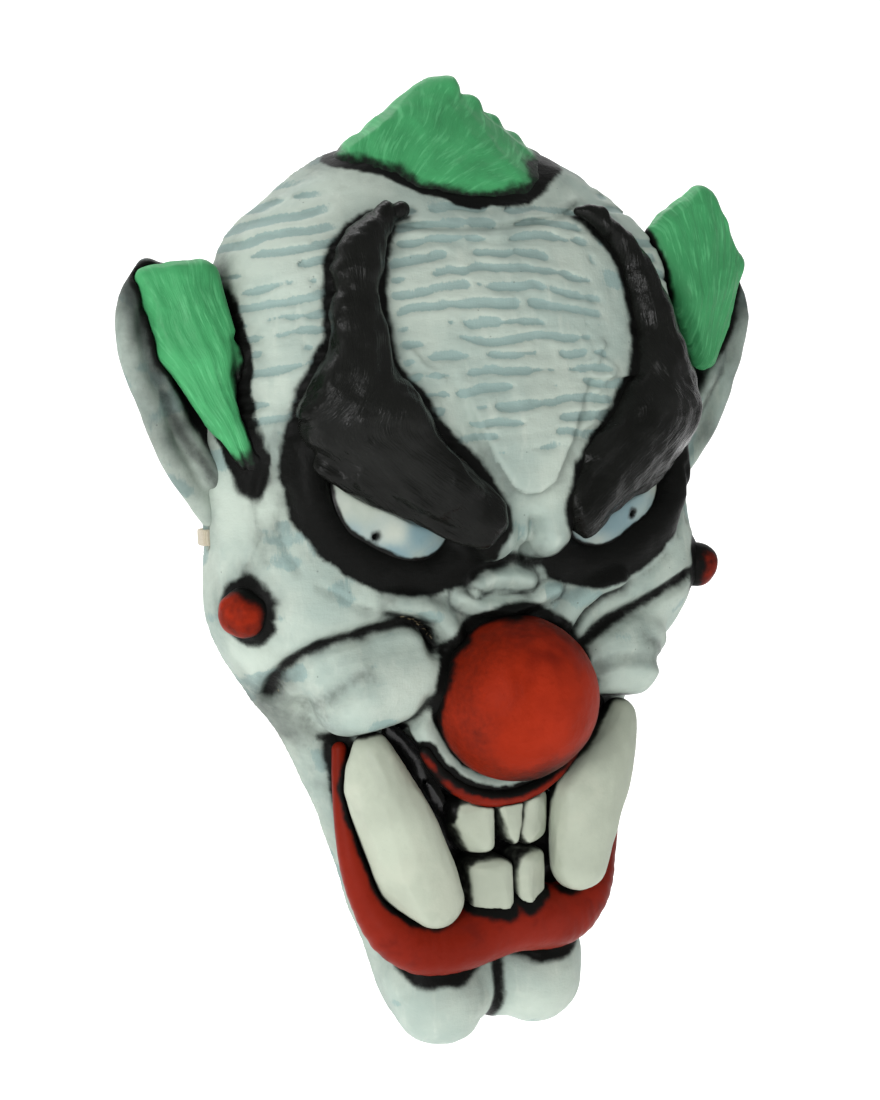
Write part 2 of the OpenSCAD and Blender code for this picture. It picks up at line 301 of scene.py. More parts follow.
def polygonise(field, lo, hi, h, coarse=4, slack=0.8, relax=2, ease=0.6):
    """Surface-nets mesh of field = 0, pulled on to the field afterwards."""
    lo = np.array(lo, F32) - 2 * h
    n = np.ceil((np.array(hi, F32) + 2 * h - lo) / (h * coarse)).astype(int)
    fc = field(grid_points(*[lo[a] + h * coarse * np.arange(n[a] + 1) for a in range(3)])).reshape(n + 1)
    near = np.full(n, 1e6, F32)
    for a, b, c in CORNERS:
        near = np.minimum(near, np.abs(fc[a : a + n[0], b : b + n[1], c : c + n[2]]))
    live = near < h * coarse * 0.9 + slack
    m = n * coarse + 1

    def enlarged(v):
        for axis in range(3):
            v = np.repeat(v, coarse, axis)
        return v

    f = np.full(m, FAR, F32)
    f[:-1, :-1, :-1] = np.where(enlarged(fc[:-1, :-1, :-1]) < 0, -FAR, FAR)
    mask = np.zeros(m, bool)
    up = enlarged(live)
    for a, b, c in CORNERS:
        mask[a : a + up.shape[0], b : b + up.shape[1], c : c + up.shape[2]] |= up
    f[mask] = evaluate(field, (lo + np.argwhere(mask) * h).astype(F32))

    inside = f < 0
    cells = np.zeros(np.array(m) - 1, np.int8)
    for a, b, c in CORNERS:
        cells += inside[a : m[0] - 1 + a, b : m[1] - 1 + b, c : m[2] - 1 + c]
    act = np.argwhere((cells > 0) & (cells < 8))
    index = np.full(np.array(m) - 1, -1, np.int64)
    index[tuple(act.T)] = np.arange(len(act))
    corner = np.array(CORNERS)
    cv = np.stack([f[tuple((act + k).T)] for k in corner], 1)
    acc = np.zeros((len(act), 3))
    cnt = np.zeros(len(act))
    for i in range(8):
        for j in range(i + 1, 8):
            if np.abs(corner[i] - corner[j]).sum() != 1:
                continue
            a, b = cv[:, i], cv[:, j]
            cross = (a < 0) != (b < 0)
            t = np.where(cross, a / np.where(cross, a - b, 1), 0)
            acc += np.where(cross[:, None], corner[i] + t[:, None] * (corner[j] - corner[i]), 0)
            cnt += cross
    verts = (lo + (act + acc / cnt[:, None]) * h).astype(F32)

    quads = []
    for axis in range(3):
        u, v = (axis + 1) % 3, (axis + 2) % 3
        s0 = [slice(None)] * 3
        s1 = [slice(None)] * 3
        s0[axis], s1[axis] = slice(0, -1), slice(1, None)
        a, b = inside[tuple(s0)], inside[tuple(s1)]
        e = np.argwhere(a != b)
        e = e[(e[:, u] > 0) & (e[:, v] > 0) & (e[:, u] < m[u] - 1) & (e[:, v] < m[v] - 1)]
        du, dv = np.zeros(3, int), np.zeros(3, int)
        du[u], dv[v] = 1, 1
        around = (e - du - dv, e - dv, e, e - du)
        q = np.stack([index[tuple(k.T)] for k in around], 1)
        outwards = inside[tuple(e.T)]
        q[~outwards] = q[~outwards][:, ::-1]
        quads.append(q)
    quads = np.concatenate(quads)
    quads = quads[(quads >= 0).all(1)]

    for turn in range(relax + 1):
        verts = pull(field, verts, quads, h)
        if turn == relax:
            break
        ea = np.concatenate([quads[:, [0, 1]], quads[:, [1, 2]], quads[:, [2, 3]], quads[:, [3, 0]]])
        deg = np.bincount(ea.ravel(), minlength=len(verts))[:, None]
        total = np.zeros((len(verts), 3))
        for c in range(3):
            total[:, c] += np.bincount(ea[:, 0], verts[ea[:, 1], c], len(verts))
            total[:, c] += np.bincount(ea[:, 1], verts[ea[:, 0], c], len(verts))
        move = total / np.maximum(deg, 1) - verts
        nrm = normals_of(verts, quads)
        move -= (move * nrm).sum(1)[:, None] * nrm
        verts = (verts + ease * move).astype(F32)
    return verts, quads


def normals_of(verts, quads):
    a, b = verts[quads[:, 2]] - verts[quads[:, 0]], verts[quads[:, 3]] - verts[quads[:, 1]]
    n = np.cross(a, b)
    out = np.zeros((len(verts), 3))
    for c in range(3):
        for k in range(4):
            out[:, c] += np.bincount(quads[:, k], n[:, c], len(verts))
    return (out / np.maximum(np.sqrt((out * out).sum(1)), 1e-9)[:, None]).astype(F32)


def pull(field, verts, quads, h):
    """Moves each point along its normal on to the surface."""
    n = normals_of(verts, quads)
    probe, least_slope, most_slope, reach = F32(0.4), 0.45, 2.0, 0.7 * h
    f0, f1 = field(verts), field(verts + probe * n)
    slope = np.clip((f1 - f0) / probe, least_slope, most_slope)
    move = np.clip(-f0 / slope, -reach, reach)
    return (verts + move[:, None] * n).astype(F32)


def link_object(name, data):
    ob = bpy.data.objects.new(name, data)
    bpy.context.scene.collection.objects.link(ob)
    return ob


def make_object(name, verts, quads, attrs=None):
    """A smooth quad mesh from points in mm, with attributes from 0 to 1 on its points."""
    me = bpy.data.meshes.new(name)
    me.vertices.add(len(verts))
    me.vertices.foreach_set("co", (verts * MM).astype(F32).ravel())
    me.loops.add(quads.size)
    me.loops.foreach_set("vertex_index", quads.astype(np.int32).ravel())
    me.polygons.add(len(quads))
    me.polygons.foreach_set("loop_start", np.arange(0, quads.size, 4, dtype=np.int32))
    me.polygons.foreach_set("loop_total", np.full(len(quads), 4, np.int32))
    me.polygons.foreach_set("use_smooth", np.ones(len(quads), bool))
    me.update(calc_edges=True)
    me.validate()
    for key, values in (attrs or {}).items():
        a = me.attributes.new(key, "FLOAT", "POINT")
        a.data.foreach_set("value", np.clip(values, 0, 1).astype(F32))
    return link_object(name, me)


# ------------------------------------------------------------------ head

TEMPLE = 96.0
NOSE = (0.0, -43.0, -61.0)
NOSE_R = 29.0

SKULL = mirrored([(0, 22, 60, 70), (52, 0, 78, 38), (32, 6, 98, 34), (64, 0, 38, 32)])
FOREHEAD = mirrored([(14, -22, 16, 32), (48, -12, 50, 34), (64, 0, 24, 32)])
EYE_BAND = mirrored([(64, 0, 14, 32), (8, -10, -8, 32), (60, -3, -22, 36)])
MIDFACE = mirrored([(8, -10, -20, 32), (60, -3, -22, 36), (62, 2, -42, 24), (30, -2, -60, 24)])
MUZZLE = mirrored([(62, 2, -42, 24), (49, 2, -76, 18), (24, -2, -70, 22)])
JAW = mirrored([(49, 2, -76, 18), (40, 0, -106, 17), (31, 0, -136, 16)])
CHIN = mirrored([(31, 0, -136, 16), (20, -6, -170, 17)])
LOBES = [(53, -26, -52, 19), (34, -27, -51, 18)]
CHIN_BUMPS = [(20, -15, -173, 17), (23, -12, -165, 17)]
ROOT_LOBES = [(10.5, -48.5, -3.2, 9), (14.5, -46.5, 10, 9), (20, -44, 26, 8)]


def head_raw(p):
    d = hull(SKULL, DIRS)(p)
    for part, k in ((FOREHEAD, 8), (EYE_BAND, 8), (MIDFACE, 6), (MUZZLE, 6), (JAW, 6), (CHIN, 5)):
        d = smin(d, hull(part, DIRS)(p), k)
    return d


class Mirror:
    """A left-right symmetric field, sampled on one half only."""

    def __init__(self, field, lo, hi, cell):
        self.half = Smooth(field, lo, hi, cell)

    def __call__(self, p):
        return self.half(folded(p))


head_base = Mirror(head_raw, (-6, -72, -200), (108, 12, 142), 3.0)


def head_lobes(p):
    """The head with its cheek lobes, chin bumps and nose root; hollows follow it."""
    q = folded(p)
    d = head_base(p)
    d = smin(d, chain(LOBES)(q), 4)
    d = smin(d, chain(CHIN_BUMPS)(q), 4)
    d = smin(d, chain(ROOT_LOBES, 4)(q), 4)
    return d


# ------------------------------------------------------------------ pieces as fields


def nose_field(p):
    d = ball(*NOSE, NOSE_R)(p)
    return d + 0.25 * fbm(p, 14, 2, 3) + 0.06 * noise(p, 2.2, 8)


# horn and body of each brow, x measured outwards from the middle
HORN = {
    -1: [
        (32, -33, 107, 1.2), (38.5, -34, 105, 3.4), (44.5, -35.5, 100, 6.0), (51, -38.5, 90.5, 8.4),
        (54, -42, 76, 8.8), (54.5, -44.5, 64, 9.8), (57, -45, 52, 11),
    ],
    1: [
        (38, -33, 107, 1.2), (43, -34, 105.5, 2.8), (51, -34.5, 100, 4.4), (58, -36, 90.5, 6.0),
        (62, -38.5, 76, 7.6), (63.5, -41, 63, 9.0), (63, -43, 52, 10.5),
    ],
}
BODY_UPPER = {
    -1: [(57, -45, 52, 11), (62.5, -43, 40, 12), (47, -49, 38, 11)],
    1: [(63, -43, 52, 10.5), (67, -41, 38, 12.5), (55, -48, 38, 10)],
}
BODY_OUTER = {
    -1: [(62.5, -43, 40, 12), (47, -49, 38, 11), (65, -38, 35.5, 10), (50, -46, 23.5, 11)],
    1: [(67, -41, 38, 12.5), (55, -48, 36, 10), (70, -36, 29, 11.5), (51, -46, 21, 11)],
}
BODY_INNER = {
    -1: [(48, -48, 36, 11), (52, -44, 24.5, 10.5), (16.5, -54, 3.5, 8.5), (26, -51, 17, 9)],
    1: [(54, -47, 34, 10), (52, -44, 22, 11), (23.5, -52.5, 3.0, 7.6), (32, -50, 17, 8.6)],
}
LID_EDGE = {
    -1: [(69, -39, 26, 3), (61, -43, 19.5, 3), (47, -47, 11.5, 3), (31, -51, 1, 3), (17, -56, -3, 3.5)],
    1: [(72, -38, 20, 3), (62, -43, 13, 3), (47, -47, 7, 3), (32, -50.5, -1.5, 3), (24, -54, -3.5, 3.2)],
}


def brow_shape(p, side):
    q = p * vec(side, 1, 1)
    d = chain(HORN[side], 4)(q)
    d = smin(d, hull(BODY_UPPER[side])(q), 6)
    d = smin(d, hull(BODY_OUTER[side])(q), 6)
    d = smin(d, hull(BODY_INNER[side])(q), 5)
    return smin(d, chain(LID_EDGE[side], 3)(q), 3)


def brow_flow(p, side):
    """Distance across the wrinkle flow: upright on the horn, sweeping in and down below it."""
    x, z = side * p[:, 0], p[:, 2]
    lean = step(66, 30, z) * 0.95
    return x * np.cos(lean) - (z - 52) * np.sin(lean) * 0.9, x * np.sin(lean) + (z - 52) * np.cos(lean)


def brow_detail(p, side):
    across, along = brow_flow(p, side)
    q = columns(across, p[:, 1] * 0.3, along)
    warp = 2.5 * noise(p, 18, 5)
    q[:, 0] += warp
    ridges = fbm(q, (5.6, 40, 34), 2, 2.0 + side)
    fine = noise(q, (2.4, 14, 15), 9.0)
    groove = bump(across + 1.5, 3.0) * step(50, 64, p[:, 2]) * step(100, 88, p[:, 2])
    return 1.25 * ridges + 0.24 * fine + 1.0 * fbm(p, 9, 2, 4) - 1.4 * groove


def brow_field(p, side):
    return brow_shape(p, side) - brow_detail(p, side)


EYE_C = (46.0, -17.5, 9.0)
EYE_R = 27.5
EYE_CORNER = (36.5, -20.0, 3.0)
PEEP = (51.0, -0.5, 1.05)


def eye_ball(p, side):
    return rod(p * vec(side, 1, 1), EYE_C, EYE_CORNER, EYE_R, 26)


def socket(p, side):
    return rod(p * vec(side, 1, 1), (54, -45, 13.5), (35, -49.5, -0.5), 16.5, 13.5)


def peep_hole(p, side):
    q = p[:, [0, 2]] - np.array([side * PEEP[0], PEEP[1]], F32)
    return np.sqrt((q * q).sum(1)) - PEEP[2]


RING = {
    -1: [
        (70, -33, 33, 5.5), (71, -34, 21, 6), (68.5, -34, 9, 6.5), (62.5, -35, -1, 6.5),
        (53, -36, -8.7, 6.5), (42.5, -37, -12.6, 6.5), (31, -38, -13.6, 6.2), (20, -40, -11, 5),
    ],
    1: [
        (74, -32, 30, 6), (76, -33, 18, 6), (74, -33, 5.5, 6.5), (66, -34, -5, 7),
        (55, -35.5, -12.5, 7), (44, -36.5, -16.5, 7), (32, -38, -17, 6.8), (21, -40, -14, 5.5),
    ],
}


def ring_field(p, side):
    return chain(RING[side], 3)(p * vec(side, 1, 1))


WART = (91.5, -24.0, -24.0)


def wart_field(p, side):
    d = ball(side * WART[0], WART[1], WART[2], 8.3)(p)
    return d + 0.5 * fbm(p, 7, 2, side) + 0.12 * noise(p, 2.2, 6)


def lip_arc(radius, y, start, end, r_start, r_mid, r_end):
    """A roll round the underside of the nose, angles in degrees from straight down."""
    pts = []
    for a in range(start, end + 1, 7):
        t = math.radians(a)
        r = np.interp(a, [start, 0.25 * start, end], [r_start, r_mid, r_end])
        pts.append((radius * math.sin(t), y, NOSE[2] - radius * math.cos(t), r))
    return pts


UNDER_NOSE = lip_arc(32.6, -34.0, -76, 50, 5.2, 4.4, 2.2)
UPPER_LIP = lip_arc(36.6, -37.0, -64, 48, 2.6, 3.3, 1.6)


def upper_lip_field(p):
    d = chain(UPPER_LIP)(p)
    turn = np.degrees(np.arctan2(p[:, 0], -(p[:, 2] - NOSE[2])))
    q = columns(turn * 0.7, p[:, 1], p[:, 2] * 0.2)
    return d + 0.25 * noise(q, (3.2, 30, 40), 3)


LOWER_LIP = [
    (-56.5, -18, -76, 2.8), (-57, -19, -89, 3.2), (-56.5, -20, -103, 3.8), (-54.5, -21.5, -117, 5),
    (-50.5, -23, -130, 6.4), (-43.5, -25.5, -141.5, 8.6), (-33, -28, -147.5, 10.4),
    (-22, -29.5, -147.6, 11.8), (-11, -30.5, -145.4, 12.2), (0, -31, -143.6, 12.2),
    (10, -30.5, -144.4, 12.2), (20, -29.5, -146.2, 11.8), (29, -28, -145, 10.8), (37, -26, -139.5, 9.4),
    (44, -24, -130, 6.6), (49, -22, -117, 5.2), (52.5, -20.5, -103, 4), (54.5, -19.5, -89, 3.4),
    (55, -18.5, -77, 3),
]


def lower_lip_field(p):
    d = chain(LOWER_LIP, 3)(p)
    ang = np.arctan2(p[:, 0], -(p[:, 2] + 110)) * 42
    q = columns(ang, p[:, 1] * 0.15, p[:, 2] * 0.15)
    folds = noise(q, (4.2, 30, 30), 2) + 0.5 * noise(q, (1.9, 30, 30), 4)
    return d + 0.14 * folds * step(-115, -140, p[:, 2]) + 0.25 * fbm(p, 13, 2, 1)


FANG = {
    -1: [
        (51, -32, -74.5, 6.3), (46.5, -35.5, -89, 8.8), (50.5, -27, -89, 8.5), (39.5, -37, -103, 9.5),
        (45.8, -26, -103, 9), (31.5, -38, -129, 10), (40, -27, -124, 8),
    ],
    1: [
        (49.5, -32, -75, 6.3), (42, -35.5, -89, 10.2), (46.5, -27, -89, 8.5), (31.5, -37, -103, 13),
        (40.5, -26, -103, 9), (27, -38, -125, 10.4), (35, -27, -120, 9),
    ],
}


def fang_field(p, side):
    q = p * vec(side, 1, 1)
    d = hull(FANG[side])(q)
    d = smax(d, -q[:, 1] - 46.2, 5)
    return d + 0.4 * fbm(p, 13, 2, 5 * side) + 0.1 * noise(p * vec(1, 1, 0.35), 2.6, 3)


GUM_ROLL = [(42, -29, -70.5, 3.4), (35, -31, -79, 4.2), (29, -32, -90, 4.2), (24, -31, -99, 3.4)]


def backing_field(p):
    q = folded(p)
    d = hull(mirrored([(47, -13, -84, 9), (43, -13, -112, 9), (28, -14, -136, 9)]))(p)
    d = smin(d, chain(GUM_ROLL, 3)(q), 3)
    return d + 0.5 * fbm(p, 9, 2, 6)


# each tooth: left, right, bottom, top of its front, how deep its inner and outer sides stand,
# and how far its inner and outer lower corners lean
TOOTH_BOX = {
    "tooth_upper_left": (-22.5, -6.6, -116.2, -97, -39.5, -35.5, 0, 4.5),
    "tooth_upper_right": (5.4, 17.6, -115.6, -97, -39.5, -35.5, -2.2, -1),
    "tooth_lower_left": (-17.5, -0.9, -142, -118.6, -41, -37.5, 0, 1.5),
    "tooth_lower_right": (0.7, 14.4, -141, -118.0, -41, -37.5, 0, -0.8),
}
TOOTH_R = 3.6


def tooth_balls(x0, x1, z0, z1, y_inner, y_outer, lean_inner, lean_outer):
    inner, outer = (x1, x0) if x1 < 1 else (x0, x1)
    dx, r = TOOTH_R if inner < outer else -TOOTH_R, TOOTH_R
    out = []
    for z, low in ((z0 + r, 1), (z1 - r, 0)):
        out.append((inner + dx + low * lean_inner, y_inner + r, z, r))
        out.append((outer - dx + low * lean_outer, y_outer + r, z, r))
    return out


TEETH = {name: tooth_balls(*box) for name, box in TOOTH_BOX.items()}
TEETH["tooth_wedge"] = [(-3.4, -37.4, -100.5, 2.5), (2.4, -37.2, -100.5, 2.5), (0.4, -37.8, -112.5, 2.0)]


def tooth_solid(name):
    return TEETH[name] + [(x, y + TOOTH_DEPTH, z, r) for x, y, z, r in TEETH[name]]


def tooth_field(p, name):
    return hull(tooth_solid(name))(p) + 0.3 * fbm(p, 8, 2, 2)


CROWN = [
    (-38, -6.5, 122.5, 8), (-16, -15, 117, 9), (0, -18, 115, 9), (18, -17, 114, 9), (34, -10, 117, 8),
    (42, -3, 120, 6.5), (23, -3, 131, 6), (5, -2, 144.5, 6), (-2, 0, 150, 6.5),
]
CURLS = [(3.5 + 8.3 * i, -2, 151 - 5.9 * i, 5.6 - 0.25 * i) for i in range(6)]


def crown_shape(p):
    d = hull(CROWN, DIRS)(p)
    for c in CURLS:
        d = smin(d, ball(*c)(p), 2.0)
    return d


def fan(p, root_x, root_z, turn):
    """Across and along coordinates, in mm, of locks that fan out from a root."""
    x, z = p[:, 0] - root_x, p[:, 2] - root_z
    return np.arctan2(z, x) * turn + 2.5 * noise(p, 16, 2), np.sqrt(x * x + z * z)


def crown_flow(p):
    return fan(p, -52, 88, 60)


def brushed(p, flow, lock, hair):
    """Relief of brushed hair along a flow: soft locks and finer strands."""
    across, along = flow
    q = columns(across, p[:, 1] * 0.25, along * 0.25)
    return lock * fbm(q, (4.4, 12, 9), 2, 3) + hair * noise(q, (1.7, 8, 5), 8) + 0.2 * noise(p, 5, 2)


def crown_field(p):
    return crown_shape(p) - brushed(p, crown_flow(p), 0.62, 0.3)


LEFT_TUFT = [
    [(-113.5, -11, 86, 5), (-97, -14, 87, 6), (-107.5, -15, 63, 5), (-93, -19, 60, 6)],
    [(-107.5, -15, 63, 5), (-93, -19, 60, 6), (-94, -20, 41, 5.5)],
]
RIGHT_TUFT = [
    [(104, -14, 112, 6), (83, -18, 99, 6), (117, -13, 88, 5.5), (94, -20, 76, 6)],
    [(117, -13, 88, 5.5), (94, -20, 76, 6), (102, -17, 54, 5), (111, -14, 67, 5.5)],
]


def tuft_flow(p, side):
    return fan(p, -82, 8, 75) if side < 0 else fan(p, 96, 30, 75)


def tuft_field(p, side):
    if side < 0:
        d = smin(hull(LEFT_TUFT[0])(p), hull(LEFT_TUFT[1])(p), 4)
        d = smin(d, rod(p, (-93, -20, 41), (-85.5, -22.5, 26.5), 6, 4.4), 3)
        e, _ = flat_line(p, [(-89, 66), (-90, 54), (-88, 42), (-84, 30)])
        d = smax(d + 1.5 * bump(e, 3.0) * step(-8, -13, p[:, 1]), p[:, 1] + 9.6, 1)
    else:
        d = smax(smin(hull(RIGHT_TUFT[0])(p), hull(RIGHT_TUFT[1])(p), 4), p[:, 1] + 10.8, 1)
    return d - brushed(p, tuft_flow(p, side), 0.6, 0.28)


EAR_RIM = [
    (113, -7, 90, 3.4), (120.5, -11, 80, 3.8), (122.5, -12.5, 68, 3.8), (120, -12, 56, 3.6),
    (115.5, -11.5, 46, 3.8), (113.5, -11, 38, 3.8), (108, -9.5, 26, 3.6), (101, -7.5, 15, 3.4),
    (95, -5.5, 7, 3.2),
]
EAR_ROOT = [
    (86, -4, 86), (89, -4.5, 72), (90, -4.5, 60), (91, -4.5, 50), (91, -4.5, 42), (91, -4.5, 34),
    (90.5, -4.5, 24), (90, -4, 14), (89, -4, 7),
]
EAR_FOLD = [
    (116, -12, 74, 2.2), (113, -13, 60, 2.6), (108, -12, 46, 2.8), (101, -10.5, 32, 2.8),
    (94, -11, 20, 3.2),
]


def ear_field(p, side):
    q = p * vec(side, 1, 1)
    rim = [(x - 3, y + 1.5, z, 2.2) for x, y, z, _ in EAR_RIM]
    root = [(*at, 2.4) for at in EAR_ROOT]
    blades = [hull(rim[i : i + 2] + root[i : i + 2])(q) for i in range(len(rim) - 1)]
    d = reduce(lambda d, e: smin(d, e, 2), blades)
    d = smin(d, chain(EAR_RIM, 3)(q), 2.5)
    d = smin(d, chain(EAR_FOLD, 3)(q), 3)
    return d - 0.45 * fbm(q, 12, 2, 7) - 0.1 * noise(q, 3, 3)


# ------------------------------------------------------------------ skin relief

CHEEK_CREASE = [
    (30, -41), (31, -35), (36, -31.5), (45, -31), (56, -33), (68, -35.5), (76, -40), (79, -47),
    (78, -54),
]
RIGHT_CREASE = [(27, -47), (34, -42.5), (45, -38), (58, -33.5), (70, -29), (80, -26)]
RIGHT_SPLIT = [(34, -53), (45, -52), (57, -54), (68, -58)]
CHEEK_BOTTOM = [(62, -71.5), (56, -71.5), (48, -69.5), (38, -66), (33, -58)]
DIMPLE = [(66, -66), (68, -58), (63, -50), (55, -46)]
NASAL_FOLD = [(44, -24), (36, -25.5), (28, -30), (22, -37)]
UNDER_NASAL = [(47, -27), (38, -29.5), (31, -35), (27, -41)]
FOLD_ONE = [(-14, -20), (-8, -18.2), (0, -18.5), (6, -20.5)]
FOLD_TWO = [(-20, -24), (-12, -28), (-1, -29.5), (9, -28), (17, -24.5)]
HAIR_CREASE = [(-34, 103), (-18, 101), (0, 101), (15, 102.5), (32, 105), (42, 109)]
EYE_BAGS = [
    [(78, 14), (80, 2), (76, -10)],
    [(84, 22), (86, 8), (84, -6)],
    [(70, -16), (58, -23), (48, -26)],
]
SIDE_CREASES = [[(72, -80), (68, -96), (62, -112)], [(84, 2), (89, -8), (90, -12)]]
V_SHAPE = [
    (-22, 52), (-17.5, 36), (-12.5, 23), (-6, 13), (0, 10.2), (5, 10.6), (10.5, 14), (14, 20),
    (19.5, 29), (25, 38), (31, 48),
]
GLABELLA = [[(27, 51), (33, 54), (38, 60)], [(30, 42), (36, 46), (41, 51)], [(24, 31), (30, 35), (37, 40)]]


def v_distance(p):
    """Signed distance in the XZ plane to the V flap of the forehead, negative inside."""
    d, _ = flat_line(p, V_SHAPE)
    xs = np.array([q[0] for q in V_SHAPE], F32)
    zs = np.array([q[1] for q in V_SHAPE], F32)
    inside = p[:, 2] > np.interp(p[:, 0], xs, zs)
    return np.where(inside, -d, d)


def furrows(p):
    """Broken, nearly level furrows of the forehead and temples, 0 to 1."""
    x, z = p[:, 0], p[:, 2]
    sag = 0.0013 * x * x * step(0, 40, np.abs(x)) + 1.7 * noise(p, (30, 60, 20), 4)
    sag = sag + 0.9 * noise(p, (11, 60, 9), 2)
    rows = (z + sag) / 5.5
    k = np.floor(rows)
    f = rows - k
    q = columns(x + 31.7 * k, np.zeros_like(x), k * 3.3)
    dash = noise(q, (9.5, 50, 1.6), 1) + 0.4 * noise(q, (3.2, 50, 1.6), 6)
    width = 0.27 * step(-0.7, 0.15, dash)
    d = np.abs(f - 0.5 + 0.13 * noise(q, (6, 9, 1.6), 8))
    return step(0.07, -0.07, d - width) * step(0.03, 0.10, width)


def furrow_zone(p):
    """Where furrows are: the forehead between the brows, the temples, faint elsewhere."""
    x, z = np.abs(p[:, 0]), p[:, 2]
    front = step(22, 34, z) * step(113, 105, z) * step(3, -3, x - 40)
    below = 0.5 * step(-4, 6, z - 20) * step(14, 9, x)
    temple = step(28, 44, z) * step(124, 114, z) * step(50, 60, x)
    return np.clip(front + below + temple, 0, 1)


strokes = Map(lambda p: furrows(p) * furrow_zone(p))


def front_relief(p):
    """Flaps, folds and creases of the front, in mm inwards."""
    out = -4.0 * step(0.7, -1.3, v_distance(p)) * step(62, 30, p[:, 2])
    for line, height, width in ((FOLD_ONE, 4.2, 5.2), (FOLD_TWO, 3.8, 4.6)):
        out -= height * bump(flat_line(p, line)[0], width)
    m = folded(p)
    out -= 3.8 * bump(flat_line(m, NASAL_FOLD)[0], 6.5)
    out += 2.0 * bump(flat_line(m, UNDER_NASAL)[0], 2.6)
    for line in GLABELLA:
        out -= 1.3 * bump(flat_line(m, line)[0], 2.6)
    out += 2.2 * bump(near_curve(m, CHEEK_BOTTOM), 4.4) * step(66, 54, m[:, 0])
    out += 2.2 * bump(p[:, 0] - 4.5, 3.0) * step(6, 1, p[:, 2]) * step(-15, -9, p[:, 2])
    cleft = bump(p[:, 0] + 0.8 * noise(p, 9, 3), 3.4) * step(-154, -162, p[:, 2])
    return out + 1.2 * cleft


def side_relief(p):
    """Creases that run on round the sides of the head, in mm inwards."""
    m = folded(p)
    left = np.where(p[:, 0] < 0, near_curve(m, CHEEK_CREASE), 99)
    right = near_curve(p, RIGHT_CREASE)
    out = 3.0 * bump(np.minimum(left, right), 4.6)
    out += 1.8 * bump(near_curve(p, RIGHT_SPLIT), 4.0)
    e, t = flat_line(m, curve_points(DIMPLE))
    out += 2.6 * bump(e, 7.0) * np.sin(np.clip(t, 0.02, 0.98) * math.pi) ** 0.5
    e = near_curve(p, HAIR_CREASE)
    out += 1.0 * bump(e, 1.6) - 0.9 * bump(e - 2.6, 2.6)
    for line in EYE_BAGS:
        out += 0.9 * bump(near_curve(m, line), 2.4)
    for line in SIDE_CREASES:
        out += 0.9 * bump(near_curve(m, line), 2.6)
    return out


front_map, side_map = Map(front_relief), Map(side_relief)


def head_with_fillets(p):
    """The head with its sockets, its rolls under the nose and round the eyes, and the skin drawn up round
    the nose, lower lip, warts and brows.
    """
    d = head_lobes(p)
    d = smin(d, chain(UNDER_NOSE)(p), 2.5)
    d = smin(d, ball(*NOSE, NOSE_R - 3.2)(p), 5)
    d = smin(d, chain(LOWER_LIP, 3)(p) + 2.6, 4)
    for s in SIDES:
        d = smax(d, -socket(p, s), 5)
        d = smin(d, ring_field(p, s), 4)
        d = smin(d, ball(s * WART[0], WART[1], WART[2], 6.2)(p), 5)
        d = smin(d, brow_shape(p, s) + 3.2, 4)
    return d


head_filled = Smooth(head_with_fillets, (-112, -78, -200), (112, 12, 142), 2.0)


def head_surface(p):
    """Outer face of the skin with all its relief."""
    front = step(2, -8, p[:, 1])
    d = head_filled(p) + front_map(p) * front + side_map(p) * step(2, -4, p[:, 1])
    d = d + 0.95 * strokes(p) * step(-2, -8, p[:, 1])
    d = d + 0.3 * noise(p, (11, 11, 2.4), 12) * furrow_zone(p)
    return d + 0.45 * fbm(p, 17, 2, 1) + 0.24 * fbm(p, 6, 2, 2) + 0.05 * noise(p, 1.8, 5)


head_near = Sampled(head_surface, (-132, -80, -200), (132, 8, 170), 2.4)


def hollow_raw(p):
    return smax(head_lobes(p) + WALL, WALL - socket(p, 1), 5)


hollow = Mirror(hollow_raw, (-6, -78, -200), (112, 12, 142), 2.4)


def inner_wall(p, outer):
    return smax(hollow(p) + 0.3 * noise(p, 12, 9), outer + LEAST_WALL, 1.0)


def skin_field(p):
    outer = head_surface(p)
    d = smax(outer, -inner_wall(p, outer), 0.6)
    d = smax(d, p[:, 1], 1.4)
    for s in SIDES:
        d = smax(d, -peep_hole(p, s) - 0.3, 0.8)
        q = p - vec(s * TEMPLE, -5, 0)
        slit = (np.abs(q) - vec(SLIT_DEPTH, SLIT_HALF_Y, SLIT_HALF_Z)).max(1)
        d = smax(d, -slit, 0.6)
    return d


# ------------------------------------------------------------------ where the paint goes


